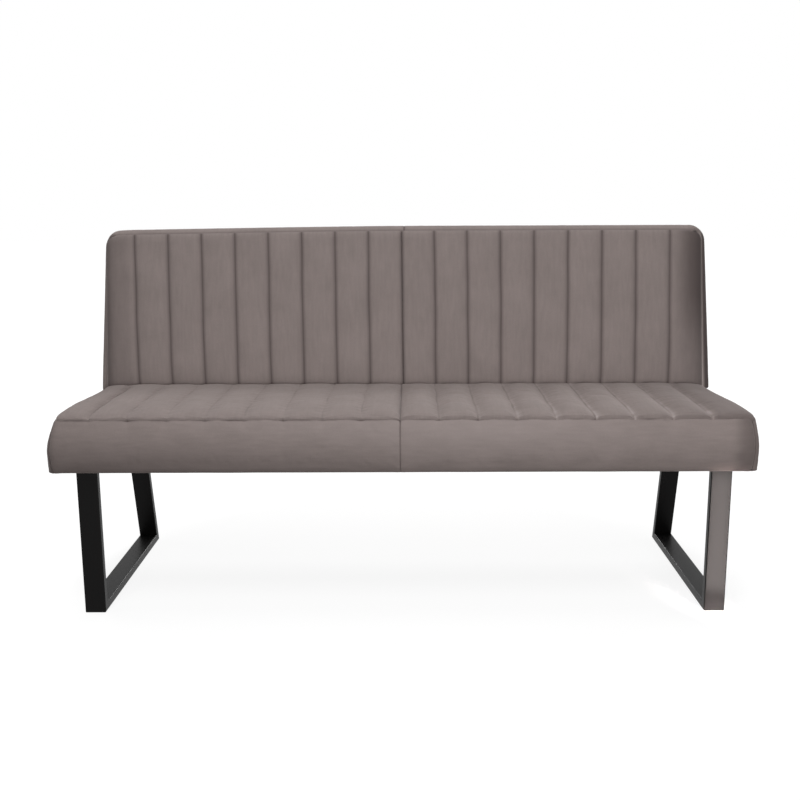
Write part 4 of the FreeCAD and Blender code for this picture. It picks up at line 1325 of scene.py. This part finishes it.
        def shade(across: np.ndarray, along: np.ndarray) -> np.ndarray:
            """Darkness of the seams and, on the right, painted shade towards the end, less a painted
            highlight beside the seams.

            Args:
                across: distance from the middle.
                along: distance along the cloth from the front seam.

            Returns:
                The shade.
            """
            rows = plan.nearest_seam(across)
            faint = self.channel_shade.on(side) + self.channel_waver.at(along, side.value, rows)
            channel = stitch_shade(plan.seam_distance(across, edge)) * np.clip(faint, 0.0, 1.0)
            seams = np.maximum(self.top_middle_shade * stitch_shade(across), channel)
            seams = seams + stitch_shade(along) * self.front_pull(side, across)
            if side is Side.LEFT:
                return seams
            beside = plan.channel_share(across, edge) * plan.pitch - self.lift_beside
            highlight = bell(beside, self.lift_thin + self.lift_wide.at(along))
            highlight = highlight * (self.lift_least + self.lift_ahead.at(along)) * self.lift_outwards.at(across)
            highlight = highlight * (1.0 + self.lift_waver.at(along, 0, rows)) * (across > 0.5 * plan.pitch)
            return np.maximum(seams, self.top_shade.at(across)) - self.pile_lift * highlight

        sitting_start, sitting_stop = self.sitting_ends[0], back + self.sitting_ends[1]
        sitting_count = round((sitting_stop - sitting_start) / self.top_step)
        along = np.concatenate([
            MM * np.array(self.nose_lines),
            np.linspace(sitting_start, sitting_stop, sitting_count),
            np.linspace(back + self.hidden_ends[0], cloth - self.hidden_ends[1], self.hidden_count),
            cloth - MM * np.array(self.rear_lines),
        ])
        lines = plan.channel_lines(edge, self.strips)
        panel = Panel(f"seat_top_panel_{side.word}", lines, along, shape, stitch, UPWARD, shade)
        panel.build(Cloth(), self.finish, f"seat_cover_top_{side.word}")


@dataclass
class BackCover:
    """The back's velvet: two quilted front panels, a boxing band in two halves and a rear panel.

    Rises are measured up the leaning face from the seat, depths behind the face.
    """

    plan: SeatPlan
    finish: bpy.types.Material
    # Grid lines: strips in a channel, steps along and up the panels, lines in a rounded corner
    strips: int = 12
    front_step: float = 6.0 * MM
    boxing_step: float = 8.0 * MM
    boxing_width_step: float = 5.0 * MM
    rear_step: float = 11.0 * MM
    rear_rise_step: float = 12.0 * MM
    corner_lines: int = 11
    bend_lines: int = 15
    quilted: Cloth = Cloth(slack=0.008, cap=2.5 * MM)
    tight: Cloth = Cloth(slack=0.001, cap=0.6 * MM)
    # Block
    lean: float = math.radians(12.0)
    height: float = 434.0 * MM
    taper: float = 10.0 * MM
    corner: float = 40.0 * MM
    top_round: float = 24.0 * MM
    top_round_from: float = 5.5 * MM
    widest: float = 48.0 * MM
    bow: float = 5.0 * MM
    thickness: float = 92.4 * MM
    rear_round: float = 8.0 * MM
    seam_depth: float = 12.0 * MM
    side_seam_depth: float = 31.0 * MM
    rear_seam: float = 89.0 * MM
    front_half: float = 809.0 * MM
    tail: float = 18.0 * MM  # the covers reach down this far past the seat's top, where its ends fall away
    # How the worn back stands: its top sags to the left and its channel seams lean
    sag: Pair[float] = Pair(10.0 * MM, 0.0)
    sag_power: float = 1.3
    droop_left: float = 6.0 * MM
    droop_reach: float = 90.0 * MM
    drift_low_at: tuple[float, ...] = (-1.0, 0.0, 0.55, 1.0)
    drift_low: tuple[float, ...] = (4.0 * MM, -3.0 * MM, -13.0 * MM, -8.0 * MM)
    drift_high_at: tuple[float, ...] = (-1.0, 0.0, 0.3, 1.0)
    drift_high: tuple[float, ...] = (-9.0 * MM, -7.0 * MM, -11.0 * MM, -2.0 * MM)
    drift_fade: float = 90.0 * MM
    # Channels of the front: their stuffing, how they round over to the seams, and unevenness
    fullness: float = 4.0
    side_round: float = 44.0 * MM
    side_fall: Pair[float] = Pair(48.0 * MM, 80.0 * MM)
    puff_top: float = 26.0 * MM
    top_fall: float = 14.0 * MM
    foot_round: float = 75.0 * MM
    foot_depth: float = 13.0 * MM
    foot_fade: float = 120.0 * MM
    wander: Waver = Waver(0.5 * MM, 260.0 * MM, 71, 0.53)
    wander_fade: float = 70.0 * MM
    uneven: Waver = Waver(0.1, 190.0 * MM, 77, 2.3)
    pucker: Waver = Waver(0.7 * MM, 19.0 * MM, 81, 0.37)
    pucker_wide: float = 14.0 * MM
    front_pull: Crease = Crease(0.35 * MM, 60.0 * MM, 14.0 * MM, 85)
    # Boxing and rear panel
    lip: float = 3.0 * MM
    boxing_tuck: float = 1.0 * MM
    bulge: Pair[float] = Pair(1.0 * MM, 7.5 * MM)
    boxing_pull: Crease = Crease(0.5 * MM, 70.0 * MM, 16.0 * MM, 91)
    rear_pull: Crease = Crease(0.6 * MM, 160.0 * MM, 30.0 * MM, 97)
    rear_crown: float = 16.0 * MM
    rear_calm: float = 40.0 * MM
    rear_reach: Ramp = Ramp(1.0, -110.0 * MM, 70.0 * MM)
    rear_reach_fade: float = 120.0 * MM
    # Shades of the seams: crushed pile with painted shade on the seam, and a softer painted shade on the left
    # of each seam
    seam_shade: float = 0.8
    seam_wide: float = 3.4 * MM
    nap_shade: float = 0.4
    nap_wide: float = 6.0 * MM
    border_shade: float = 0.4
    # Painted shade on the outermost channels and on the boxing's upright part, and a painted highlight along
    # the right boxing's front seam
    end_shade: Pair[Ramp] = Pair(Ramp(0.24, 0.0, 30.0 * MM), Ramp(0.78, -4.0 * MM, 70.0 * MM))
    end_edge: Pair[Spot] = Pair(Spot(0.6, 0.0, 18.0 * MM), Spot(0.3, 0.0, 16.0 * MM))
    end_low: float = 0.4
    end_rise: Ramp = Ramp(0.6, 0.06, 0.2)
    boxing_shade: Pair[Ramp] = Pair(Ramp(0.25, 0.0, 8.0 * MM), Ramp(1.0, 0.0, 4.0 * MM))
    pile_lift: float = 0.5
    lift_wide: float = 1.5 * MM

    def build(self) -> None:
        """Makes every panel of the back."""
        for side in Side:
            self.front_panel(side)
            self.boxing(side)
        self.rear_panel()

    def stand(self, x: np.ndarray, up: np.ndarray, depth: np.ndarray) -> np.ndarray:
        """Leans a point back: a rise up the slope and a depth behind the face.

        Args:
            x: place across, signed.
            up: rise along the slope from the seat.
            depth: depth behind the back's face.

        Returns:
            Points in the frame.
        """
        slope, level = math.sin(self.lean), math.cos(self.lean)
        sag = np.where(x < 0.0, self.sag.left, self.sag.right) * (np.abs(x) / self.plan.end) ** self.sag_power
        near_end = np.clip((self.droop_reach - self.plan.end - x) / self.droop_reach, 0.0, 1.0)
        sag = sag + self.droop_left * near_end ** 2
        risen = up - sag * ease(up / self.height)
        y = self.plan.back_face + depth * level + risen * slope
        z = self.plan.seam + self.plan.quilt - depth * slope + risen * level
        return np.stack([x, y, z], axis=-1)

    def drift(self, x: np.ndarray, up: np.ndarray) -> np.ndarray:
        """How far the channel seams stand off their even places: the quilt was pulled on askew.

        Args:
            x: place across, signed.
            up: rise along the slope.

        Returns:
            The shift to the right, before it fades at the panel's edges.
        """
        share = x / self.plan.last_seam
        low = np.interp(share, self.drift_low_at, self.drift_low)
        high = np.interp(share, self.drift_high_at, self.drift_high)
        return low + (high - low) * np.clip(up / self.height, 0.0, 1.0)

    def half_width(self, up: np.ndarray) -> np.ndarray:
        """Half the back's width at a rise, before its upper corner."""
        return self.plan.end - self.taper * np.clip(up / (self.height - self.corner), 0.0, 1.0)

    def band_inset(self, depth: np.ndarray, top_share: np.ndarray, draw: np.ndarray) -> np.ndarray:
        """How far the boxing lies inside the back's outline.

        Args:
            depth: depth behind the face.
            top_share: 0 on a side, 1 on the top.
            draw: how far a side leans in at the front seam.

        Returns:
            The inset of the rounded front and rear edges.
        """
        side = leaned_in(draw, self.widest - self.side_seam_depth, self.widest - depth)
        side = side + inset_of(self.rear_round, self.thickness - depth)
        top = inset_of(self.top_round, depth - self.bow - self.top_round_from)
        top = top + inset_of(self.top_round, self.thickness - depth)
        return side + (top - side) * top_share

    def seam_insets(self, depth: float) -> tuple[float, float]:
        """How far a seam at a depth lies inside the outline, on a side and on the top."""
        inset = self.band_inset(np.array([depth, depth]), np.array([0.0, 1.0]), np.array(self.taper))
        return float(inset[0]), float(inset[1])

    def foot(self, depth: np.ndarray) -> np.ndarray:
        """Rise at which a depth meets the seat."""
        return depth * math.tan(self.lean)

    def rise_lines(self, low: float, top: float, radius: float, step: float) -> np.ndarray:
        """Grid lines up a panel, crowded in its rounded upper corners, with the top seam's allowance.

        Args:
            low: lowest line.
            top: the top seam.
            radius: radius of the upper corners.
            step: distance between lines below them.

        Returns:
            The lines' rises, in order.
        """
        upper = top - radius * (1.0 - np.sin(np.linspace(0.0, QUARTER_TURN, self.corner_lines)))
        lower = np.linspace(low, top - radius, round((top - radius - low) / step))
        return np.concatenate([lower[:-1], upper, top + TURNED_IN])

    def front_panel(self, side: Side) -> None:
        """Makes half of the quilted front.

        Args:
            side: which half.
        """
        plan, edge, last, low = self.plan, self.front_half, self.plan.last_seam, -self.tail
        inset_top = self.seam_insets(self.seam_depth)[1]
        top = self.height - inset_top
        radius = self.corner - inset_top

        def shape(across: np.ndarray, up: np.ndarray) -> np.ndarray:
            """Points of the front's face.

            Args:
                across: distance from the middle.
                up: rise along the slope.

            Returns:
                Points in the frame.
            """
            limit = edge - inset_of(radius, np.clip(top - up, 0.0, None))
            rows = plan.nearest_seam(across)
            wander = self.wander.at(up, side.value, rows) * plan.loose(across, edge, self.wander_fade)
            outer = last + (across - last) * (limit - last) / (edge - last)
            slip = self.drift(side.value * across, up) * quarter((edge - across) / self.drift_fade)
            x = np.where(across > last, outer, across) + wander
            border = np.minimum(limit - x, top - up)
            bow = self.bow * ((2.0 * up / self.height - 1.0) ** 2 - 0.5)
            full = plan.stuffed(across, edge, self.fullness, self.side_round)
            puff = plan.rise * full * quarter((top - up) / self.puff_top)
            puff = puff * (1.0 + self.uneven.at(up, 0, np.floor(across / plan.pitch)))
            pucker = near_seam(plan.channel_share(across, edge), plan.pitch, self.pucker_wide) * full
            puff = puff + self.pucker.at(up, side.value, rows) * pucker
            puff = puff + self.front_pull.at(across, up, side.value) * full
            valley = plan.rise + bow
            over = (self.seam_depth - valley) * (1.0 - quarter((top - up) / self.top_fall))
            sideways = 1.0 - quarter((limit - x) / self.side_fall.on(side))
            depth = valley - puff + np.maximum(over, (self.side_seam_depth - valley) * sideways)
            level_foot = quarter((limit - x) / self.foot_fade)
            depth = depth + self.foot_depth * level_foot * (1.0 - quarter(up / self.foot_round))
            depth = depth + tucked(border, self.boxing_tuck) + tucked(across, self.boxing_tuck)
            return self.stand(side.value * np.clip(x, 0.0, limit) + slip, np.minimum(up, top), depth)

        def stitch(across: np.ndarray, up: np.ndarray) -> np.ndarray:
            """Distance from the front's edges and channel seams."""
            border = np.minimum(np.minimum(edge - across, top - up), up - low)
            return np.minimum(border, plan.seam_distance(across, edge))

        def shade(across: np.ndarray, up: np.ndarray) -> np.ndarray:
            """Darkness of the seams and painted shade on the outermost channel.

            Args:
                across: distance from the middle.
                up: rise along the slope.

            Returns:
                The shade.
            """
            # Painted shade on the left of each seam, where the channel turns away from the light
            share = plan.channel_share(across, edge)
            outermost = (across > last) & (share > 0.5)
            away = np.where(outermost, edge, plan.seam_distance(across, edge))
            left_of_seam = (share > 0.5) == (side is Side.RIGHT)
            seam_side_shade = np.where(left_of_seam, self.nap_shade * stitch_shade(away, self.nap_wide), 0.0)
            border = self.border_shade * stitch_shade(np.minimum(edge - across, top - up))
            seams = np.maximum(self.seam_shade * stitch_shade(away, self.seam_wide), seam_side_shade)
            brushed = self.brushed_end(side, across - last, edge - across, up)
            return np.maximum(np.maximum(seams, border), brushed)

        along = self.rise_lines(low, top, radius, self.front_step)
        lines = plan.channel_lines(edge, self.strips)
        panel = Panel(f"back_front_panel_{side.word}", lines, along, shape, stitch, FORWARD, shade)
        panel.build(self.quilted, self.finish, f"back_cover_front_{side.word}")

    def brushed_end(self, side: Side, past: np.ndarray, left_over: np.ndarray, up: np.ndarray) -> np.ndarray:
        """Painted shade of the outermost channel, darker towards the panel's edge.

        Args:
            side: which end.
            past: distance past the outermost seam.
            left_over: distance from the panel's edge.
            up: rise along the slope.

        Returns:
            The shade.
        """
        higher = 1.0 if side is Side.LEFT else self.end_low + self.end_rise.at(up)
        return self.end_shade.on(side).at(past) * higher + self.end_edge.on(side).at(left_over)

    def boxing(self, side: Side) -> None:
        """Makes half of the band round the side, the upper corner and the top.

        Args:
            side: which half.
        """
        upright = self.height - self.corner
        bend = self.corner * QUARTER_TURN
        level = self.plan.end - self.taper - self.corner
        length = upright + bend + level
        width = self.rear_seam - self.seam_depth

        def shape(path: np.ndarray, back: np.ndarray) -> np.ndarray:
            """Points of the band's face.

            Args:
                path: distance from the foot, up the side and along the top.
                back: distance from the front seam.

            Returns:
                Points in the frame.
            """
            turn = np.clip((path - upright) / self.corner, 0.0, QUARTER_TURN)
            on_top, share = np.sin(turn) ** 2, np.clip(back / width, 0.0, 1.0)
            start = self.side_seam_depth + (self.seam_depth - self.side_seam_depth) * on_top
            depth = start + share * (self.rear_seam - start)
            low = self.foot(depth) - self.tail
            up = low + (upright - low) * np.clip(path / upright, 0.0, 1.0)
            x = self.half_width(up) - self.corner * (1.0 - np.cos(turn))
            x = x - np.clip(path - upright - bend, 0.0, level)
            up = up + self.corner * np.sin(turn)
            bulge = self.bulge.on(side)
            bulge = hump(share) * (bulge + (self.bulge.left - bulge) * on_top)
            inset = self.band_inset(depth, on_top, self.half_width(up) - self.front_half) - bulge
            inset = inset + tucked(back, self.lip) + tucked(width - back)
            inset = inset + tucked(length - path, self.boxing_tuck)
            inset = inset + self.boxing_pull.at(path, back, side.value) * np.sin(math.pi * share)
            return self.stand(side.value * (x - inset * np.cos(turn)), up - inset * np.sin(turn), depth)

        def stitch(path: np.ndarray, back: np.ndarray) -> np.ndarray:
            """Distance from the band's stitching."""
            return np.minimum(np.minimum(back, width - back), np.minimum(length - path, path))

        def shade(path: np.ndarray, back: np.ndarray) -> np.ndarray:
            """Darkness of the seams and painted shade on the upright part, less a painted highlight along the
            right half's front seam.

            Args:
                path: distance from the foot, up the side and along the top.
                back: distance from the front seam.

            Returns:
                The shade.
            """
            upright_part = 1.0 - ease((path - upright) / bend)
            seams = np.maximum(self.border_shade * stitch_shade(back),
                               stitch_shade(np.minimum(width - back, length - path)))
            brushed = upright_part * self.boxing_shade.on(side).at(back)
            if side is Side.LEFT:
                return np.maximum(seams, brushed)
            # On the right a painted highlight runs along the front seam, with painted shade on the upright
            # part behind it
            painted_edge_highlight = self.pile_lift * stitch_shade(back, self.lift_wide) * upright_part
            return np.maximum(seams * (1.0 - upright_part), brushed) - painted_edge_highlight

        side_lines = np.linspace(0.0, upright, round(upright / self.boxing_step))[:-1]
        bend_lines = upright + np.linspace(0.0, bend, self.bend_lines)[:-1]
        level_lines = grid_lines(level, self.boxing_step)[EDGE_LINES:]
        lines = np.concatenate([side_lines, bend_lines, upright + bend + np.append(0.0, level_lines)])
        depths = grid_lines(width, self.boxing_width_step)
        outward = (0.3 * side.value, 0.0, 1.0)
        panel = Panel(f"back_boxing_{side.word}", lines, depths, shape, stitch, outward, shade)
        panel.build(self.tight, self.finish, f"back_cover_boxing_{side.word}")

    def rear_panel(self) -> None:
        """Makes the plain panel that closes the rear."""
        inset_side, inset_top = self.seam_insets(self.rear_seam)
        top = self.height - inset_top
        radius = self.corner - inset_top
        half = self.plan.end - inset_side
        low = float(self.foot(self.thickness))

        def shape(across: np.ndarray, up: np.ndarray) -> np.ndarray:
            """Points of the panel's face.

            Args:
                across: distance from the left edge.
                up: rise along the slope.

            Returns:
                Points in the frame.
            """
            limit = self.half_width(up) - inset_side - inset_of(radius, np.clip(top - up, 0.0, None))
            x = (across - half) * limit / half
            border = np.minimum(limit - np.abs(x), top - up)
            crown = (self.thickness - self.rear_seam) * quarter(border / self.rear_crown)
            crown = crown + self.rear_pull.at(across, up) * quarter(border / self.rear_calm)
            depth = self.rear_seam + crown - tucked(border)
            # At the ends it reaches down past the seat's fallen corners, as the boxing does
            reach = self.tail * self.rear_reach.at(np.abs(across - half) - half)
            reach = reach * (1.0 - ease((up - low) / self.rear_reach_fade))
            return self.stand(np.clip(x, -limit, limit), np.clip(up, self.foot(depth), top) - reach, depth)

        def stitch(across: np.ndarray, up: np.ndarray) -> np.ndarray:
            """Distance from the panel's sides and top."""
            return np.minimum(half - np.abs(across - half), top - up)

        lines = grid_lines(2.0 * half, self.rear_step)
        along = self.rise_lines(low, top, radius, self.rear_rise_step)
        panel = Panel("back_rear_panel", lines, along, shape, stitch, BACKWARD)
        panel.build(None, self.finish, "back_cover_rear")


@dataclass
class FoamCore:
    """A foam block inside the covers, softened from the block that the frame holds."""

    node: str
    finish: bpy.types.Material
    voxel: float = 9.0 * MM
    wadding: float = 13.0 * MM
    thin_share: float = 0.4
    softness: float = 0.5
    soft_passes: int = 2

    def build(self) -> bpy.types.Object:
        """Copies the block, rounds its edges and dresses it.

        Returns:
            The finished piece.
        """
        bpy.ops.object.select_all(action="DESELECT")
        block = frame["nodes"][self.node].copy()
        block.data = block.data.copy()
        block.name = self.node + "_core"
        block.parent = None
        # The copy is a piece of its own, so it drops the marks that the frame put on the node
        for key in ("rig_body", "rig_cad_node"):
            del block[key]
        bpy.context.scene.collection.objects.link(block)
        block.select_set(True)
        bpy.context.view_layer.objects.active = block
        mould = block.modifiers.new("Mould", "REMESH")
        mould.mode = "VOXEL"
        mould.voxel_size = self.voxel
        bpy.ops.object.modifier_apply(modifier=mould.name)
        self.draw_in(block)
        soft = block.modifiers.new("Soft", "SMOOTH")
        soft.factor = self.softness
        soft.iterations = self.soft_passes
        bpy.ops.object.modifier_apply(modifier=soft.name)
        bpy.ops.object.shade_smooth()
        block.data.materials.clear()
        block.data.materials.append(self.finish)
        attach(block, ROOT)
        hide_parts(self.node)
        log.info("%s: %d faces", block.name, len(block.data.polygons))
        return block

    def draw_in(self, block: bpy.types.Object) -> None:
        """Moves the foam's skin in by the wadding around it, and by less where a flap is thin.

        Args:
            block: the foam.
        """
        skin = BVHTree.FromObject(block, bpy.context.evaluated_depsgraph_get())
        points = block.data.vertices
        moves = []
        for point in points:
            # The ray starts a millimetre in, so that it meets the far skin and not the point's own face
            through = skin.ray_cast(point.co - MM * point.normal, -point.normal)[3]
            deep = self.wadding if through is None else min(self.wadding, self.thin_share * (through + MM))
            moves.append(-deep * point.normal)
        for point, move in zip(points, moves):
            point.co += move


@dataclass
class Linings:
    """The seat's two plain cloths: felt over its springs and a dust cover stapled under its frame."""

    felt: bpy.types.Material
    dust_cloth: bpy.types.Material
    step: float = 20.0 * MM
    dust_thickness: float = 0.8 * MM
    dust_settling: Cloth = Cloth(pressure=0.05, slack=0.001, cap=5.0 * MM)
    ripple: Crease = Crease(0.15 * MM, 200.0 * MM, 60.0 * MM, 101)

    def build(self) -> None:
        """Makes both cloths."""
        self.dust_cover()
        self.spring_felt()

    def lines(self, start: float, stop: float) -> np.ndarray:
        """Even grid lines from one edge to the other."""
        return np.linspace(start, stop, round((stop - start) / self.step) + 1)

    def dust_cover(self) -> None:
        """Makes the thin cloth under the seat, held at its edges and by the leg plates, slack between."""
        low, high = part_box("seat_dust_cover")
        plate_low, plate_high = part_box("leg_right_mounting_plate")

        def shape(across: np.ndarray, along: np.ndarray) -> np.ndarray:
            """Points of the flat cloth."""
            return np.stack([across, along, np.full_like(across, low.z)], axis=-1)

        def stitch(across: np.ndarray, along: np.ndarray) -> np.ndarray:
            """Distance from where the cloth is held.

            Args:
                across: place across, signed.
                along: place in depth.

            Returns:
                The distance from the nearest staples or plate.
            """
            edge = np.minimum(high.x - np.abs(across), np.minimum(along - low.y, high.y - along))
            clamp = np.maximum(plate_low.x - np.abs(across), np.abs(across) - plate_high.x)
            return np.minimum(edge, np.clip(clamp - self.step, 0.0, None))

        across, along = self.lines(low.x, high.x), self.lines(low.y, high.y)
        panel = Panel("seat_dust_cover_cloth", across, along, shape, stitch, DOWNWARD)
        panel.thickness = self.dust_thickness
        panel.slot = "dust_cloth"
        panel.laid_on = ("seat_front_rail", "seat_rear_rail")
        panel.build(self.dust_settling, self.dust_cloth, "seat_dust_cover")

    def spring_felt(self) -> None:
        """Makes the pad between springs and foam, pressed nearly flat."""
        low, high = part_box("spring_felt")

        def shape(across: np.ndarray, along: np.ndarray) -> np.ndarray:
            """Points of the pad's upper face."""
            return np.stack([across, along, high.z + self.ripple.at(across, along)], axis=-1)

        def stitch(across: np.ndarray, along: np.ndarray) -> np.ndarray:
            """Distance from the pad's edges."""
            return np.minimum(high.x - np.abs(across), np.minimum(along - low.y, high.y - along))

        across, along = self.lines(low.x, high.x), self.lines(low.y, high.y)
        panel = Panel("spring_felt_pad", across, along, shape, stitch, UPWARD)
        panel.thickness = high.z - low.z
        panel.slot = "felt"
        panel.laid_on = ("seat_springs",)
        panel.build(None, self.felt, "spring_felt")


class Hardware:
    """The rigid pieces, which keep the frame's shapes and get their finishes."""

    @staticmethod
    def dress(finishes: dict[str, bpy.types.Material]) -> None:
        """Gives each shown node the finish of its slot.

        Args:
            finishes: materials by the record's slot.
        """
        for part in frame["record"]["subparts"]:
            node = frame["nodes"][part["node"]]
            if node.hide_render or part["material_slot"] not in finishes:
                continue
            finish = finishes[part["material_slot"]]
            node.data.materials.clear()
            node.data.materials.append(finish)
            log.info("%s: %s", part["node"], finish.name)


@dataclass
class PhotoCamera:
    """The camera at the photograph's place."""

    place: Arrow = (0.0142, -2.659, 0.9992)
    pitch: float = math.radians(11.718)
    yaw: float = math.radians(-0.0933)
    roll: float = math.radians(-0.2036)
    lens: float = 47.25
    sensor: float = 36.0
    far: float = 60.0
    shift: tuple[float, float] = (-0.0103, 0.0134)

    def build(self) -> None:
        """Adds the camera and makes it the scene's."""
        level = math.cos(self.pitch)
        ahead = Vector((math.sin(self.yaw) * level, math.cos(self.yaw) * level, -math.sin(self.pitch)))
        right = Vector((math.cos(self.yaw), -math.sin(self.yaw), 0.0))
        upward = right.cross(ahead)
        across = math.cos(self.roll) * right + math.sin(self.roll) * upward
        above = math.cos(self.roll) * upward - math.sin(self.roll) * right
        turn = Matrix((across, above, -ahead)).transposed().to_4x4()
        data = bpy.data.cameras.new("photo_camera")
        data.sensor_width = self.sensor
        data.lens = self.lens
        data.shift_x, data.shift_y = self.shift
        data.clip_end = self.far
        camera = bpy.data.objects.new("photo_camera", data)
        camera.matrix_world = Matrix.Translation(self.place) @ turn
        bpy.context.scene.collection.objects.link(camera)
        bpy.context.scene.camera = camera


@dataclass(frozen=True)
class Lamp:
    """One soft box."""

    name: str
    place: Arrow
    aim: Arrow
    size: tuple[float, float]
    power: float
    spread: float = math.pi
    colour: str = "#ffffff"

    def build(self) -> None:
        """Hangs the soft box and points it."""
        data = bpy.data.lights.new(self.name, "AREA")
        data.shape = "RECTANGLE"
        data.size, data.size_y = self.size
        data.energy = self.power
        data.spread = self.spread
        data.color = linear(self.colour)[:3]
        lamp = bpy.data.objects.new(self.name, data)
        lamp.location = self.place
        lamp.rotation_euler = (Vector(self.aim) - Vector(self.place)).to_track_quat("-Z", "Y").to_euler()
        lamp.visible_camera = False
        bpy.context.scene.collection.objects.link(lamp)


@dataclass
class Studio:
    """A white sweep with soft light."""

    lamps: tuple[Lamp, ...] = (
        Lamp("front_box", (0.55, -3.9, 1.06), (0.0, 0.0, 0.5), (1.2, 1.2), 64.0),
        Lamp("front_right_box", (1.7, -3.0, 0.7), (0.2, 0.0, 0.42), (1.0, 0.6), 16.0),
        Lamp("high_left_box", (-0.71, -2.18, 3.78), (0.0, 0.0, 0.5), (1.2, 1.2), 54.0),
        Lamp("overhead_box", (0.0, -0.35, 4.48), (0.0, 0.0, 0.5), (1.2, 1.2), 25.0),
        Lamp("rear_box", (0.0, 2.0, 3.96), (0.0, 0.0, 0.5), (1.2, 1.2), 46.0),
        Lamp("left_box", (-2.22, -0.59, 3.78), (0.0, 0.0, 0.5), (1.2, 1.2), 8.0),
        Lamp("rear_fill", (0.4, 3.8, 1.3), (0.0, 0.3, 0.6), (1.4, 1.2), 55.0),
        Lamp("end_fill_left", (-3.4, 0.9, 1.1), (-0.8, 0.0, 0.5), (0.9, 0.9), 9.0),
        Lamp("end_fill_right", (3.4, 0.9, 1.1), (0.8, 0.0, 0.5), (0.9, 0.9), 9.0),
        Lamp("low_strip", (0.80, -0.41, 0.155), (0.752, -0.2565, 0.205), (0.07, 0.30), 0.19,
             math.radians(30.0), "#fff1ed"),
        Lamp("foot_strip", (0.80, -0.41, 0.06), (0.752, -0.2565, 0.0), (0.07, 0.06), 0.42,
             math.radians(30.0), "#fff1ed"),
    )
    ambient: float = 0.06
    floor_size: float = 40.0
    floor_white: float = 0.78
    floor_tone: str = "#f4f4f4"
    floor_grey: str = "#5e5c5a"
    floor_roughness: float = 0.9
    glow: float = 1.1
    fade: tuple[float, float] = (0.75, 1.15)

    def build(self) -> None:
        """Makes the floor, the world and the lamps."""
        self.floor()
        self.world()
        for lamp in self.lamps:
            lamp.build()
        bpy.context.scene.view_settings.view_transform = "Standard"

    @staticmethod
    def looked_at(tree: bpy.types.NodeTree) -> bpy.types.NodeSocket:
        """Tells what is looked at from light that only bounces.

        Args:
            tree: the material's or the world's node tree.

        Returns:
            An output that is 1 where the camera, gloss or glass looks, and 0 elsewhere.
        """
        path = add_node(tree, "ShaderNodeLightPath")
        seen = path.outputs["Is Camera Ray"]
        for kind in ("Is Glossy Ray", "Is Transmission Ray"):
            either = add_node(tree, "ShaderNodeMath", {0: seen, 1: path.outputs[kind]}, operation="MAXIMUM")
            seen = either.outputs["Value"]
        return seen

    def floor(self) -> None:
        """Makes a plain floor, white where it is looked at and grey to bounced light, with a faint shadow."""
        bpy.ops.object.select_all(action="DESELECT")
        bpy.ops.mesh.primitive_plane_add(size=self.floor_size)
        floor = bpy.context.object
        floor.name = "studio_floor"
        material, tree, shader = new_material("white_studio_floor")
        seen = self.looked_at(tree)
        place = add_node(tree, "ShaderNodeTexCoord")
        away = add_node(tree, "ShaderNodeVectorMath", {0: place.outputs["Object"]}, operation="LENGTH")
        share = add_node(tree, "ShaderNodeMapRange", {
            "Value": away.outputs["Value"], "From Min": self.fade[0], "From Max": self.fade[1],
            "To Min": self.floor_white, "To Max": 1.0,
        })
        white = add_node(tree, "ShaderNodeMath", {0: seen, 1: share.outputs["Result"]}, operation="MULTIPLY")
        tone = add_node(tree, "ShaderNodeMix", {
            MIX_FACTOR: seen, MIX_FIRST: linear(self.floor_grey), MIX_SECOND: linear(self.floor_tone),
        }, data_type="RGBA")
        tree.links.new(tone.outputs[MIX_RESULT], shader.inputs["Base Color"])
        shader.inputs["Roughness"].default_value = self.floor_roughness
        shader.inputs["Specular IOR Level"].default_value = 0.0
        glow = add_node(tree, "ShaderNodeEmission", {"Color": linear("#ffffff"), "Strength": self.glow})
        mixed = add_node(tree, "ShaderNodeMixShader", {
            0: white.outputs["Value"], 1: shader.outputs["BSDF"], 2: glow.outputs["Emission"],
        })
        tree.links.new(mixed.outputs["Shader"], tree.nodes["Material Output"].inputs["Surface"])
        floor.data.materials.append(material)

    def world(self) -> None:
        """Makes soft room light, and white where the camera or gloss looks past the floor."""
        world = bpy.data.worlds.new("studio_world")
        bpy.context.scene.world = world
        world.use_nodes = True
        tree = world.node_tree
        strength = add_node(tree, "ShaderNodeMapRange", {
            "Value": self.looked_at(tree), "To Min": self.ambient, "To Max": 1.0,
        })
        background = tree.nodes["Background"]
        background.inputs["Color"].default_value = linear("#ffffff")
        tree.links.new(strength.outputs["Result"], background.inputs["Strength"])


def main() -> None:
    """Builds the bench's looks in order: camera, light, covers, cores and finishes."""
    logging.basicConfig(level=logging.INFO, format="%(name)s %(message)s")
    PhotoCamera().build()
    Studio().build()
    velvet = Velvet().material()
    plan = SeatPlan.from_frame()
    SeatCover(plan, velvet).build()
    BackCover(plan, velvet).build()
    finishes = {finish.name.lower(): finish.value.material() for finish in Finish}
    FoamCore("seat_foam", finishes["foam"]).build()
    FoamCore("back_foam", finishes["foam"]).build()
    Linings(finishes["felt"], finishes["dust_cloth"]).build()
    Hardware.dress(finishes)


if __name__ == "__main__":
    main()
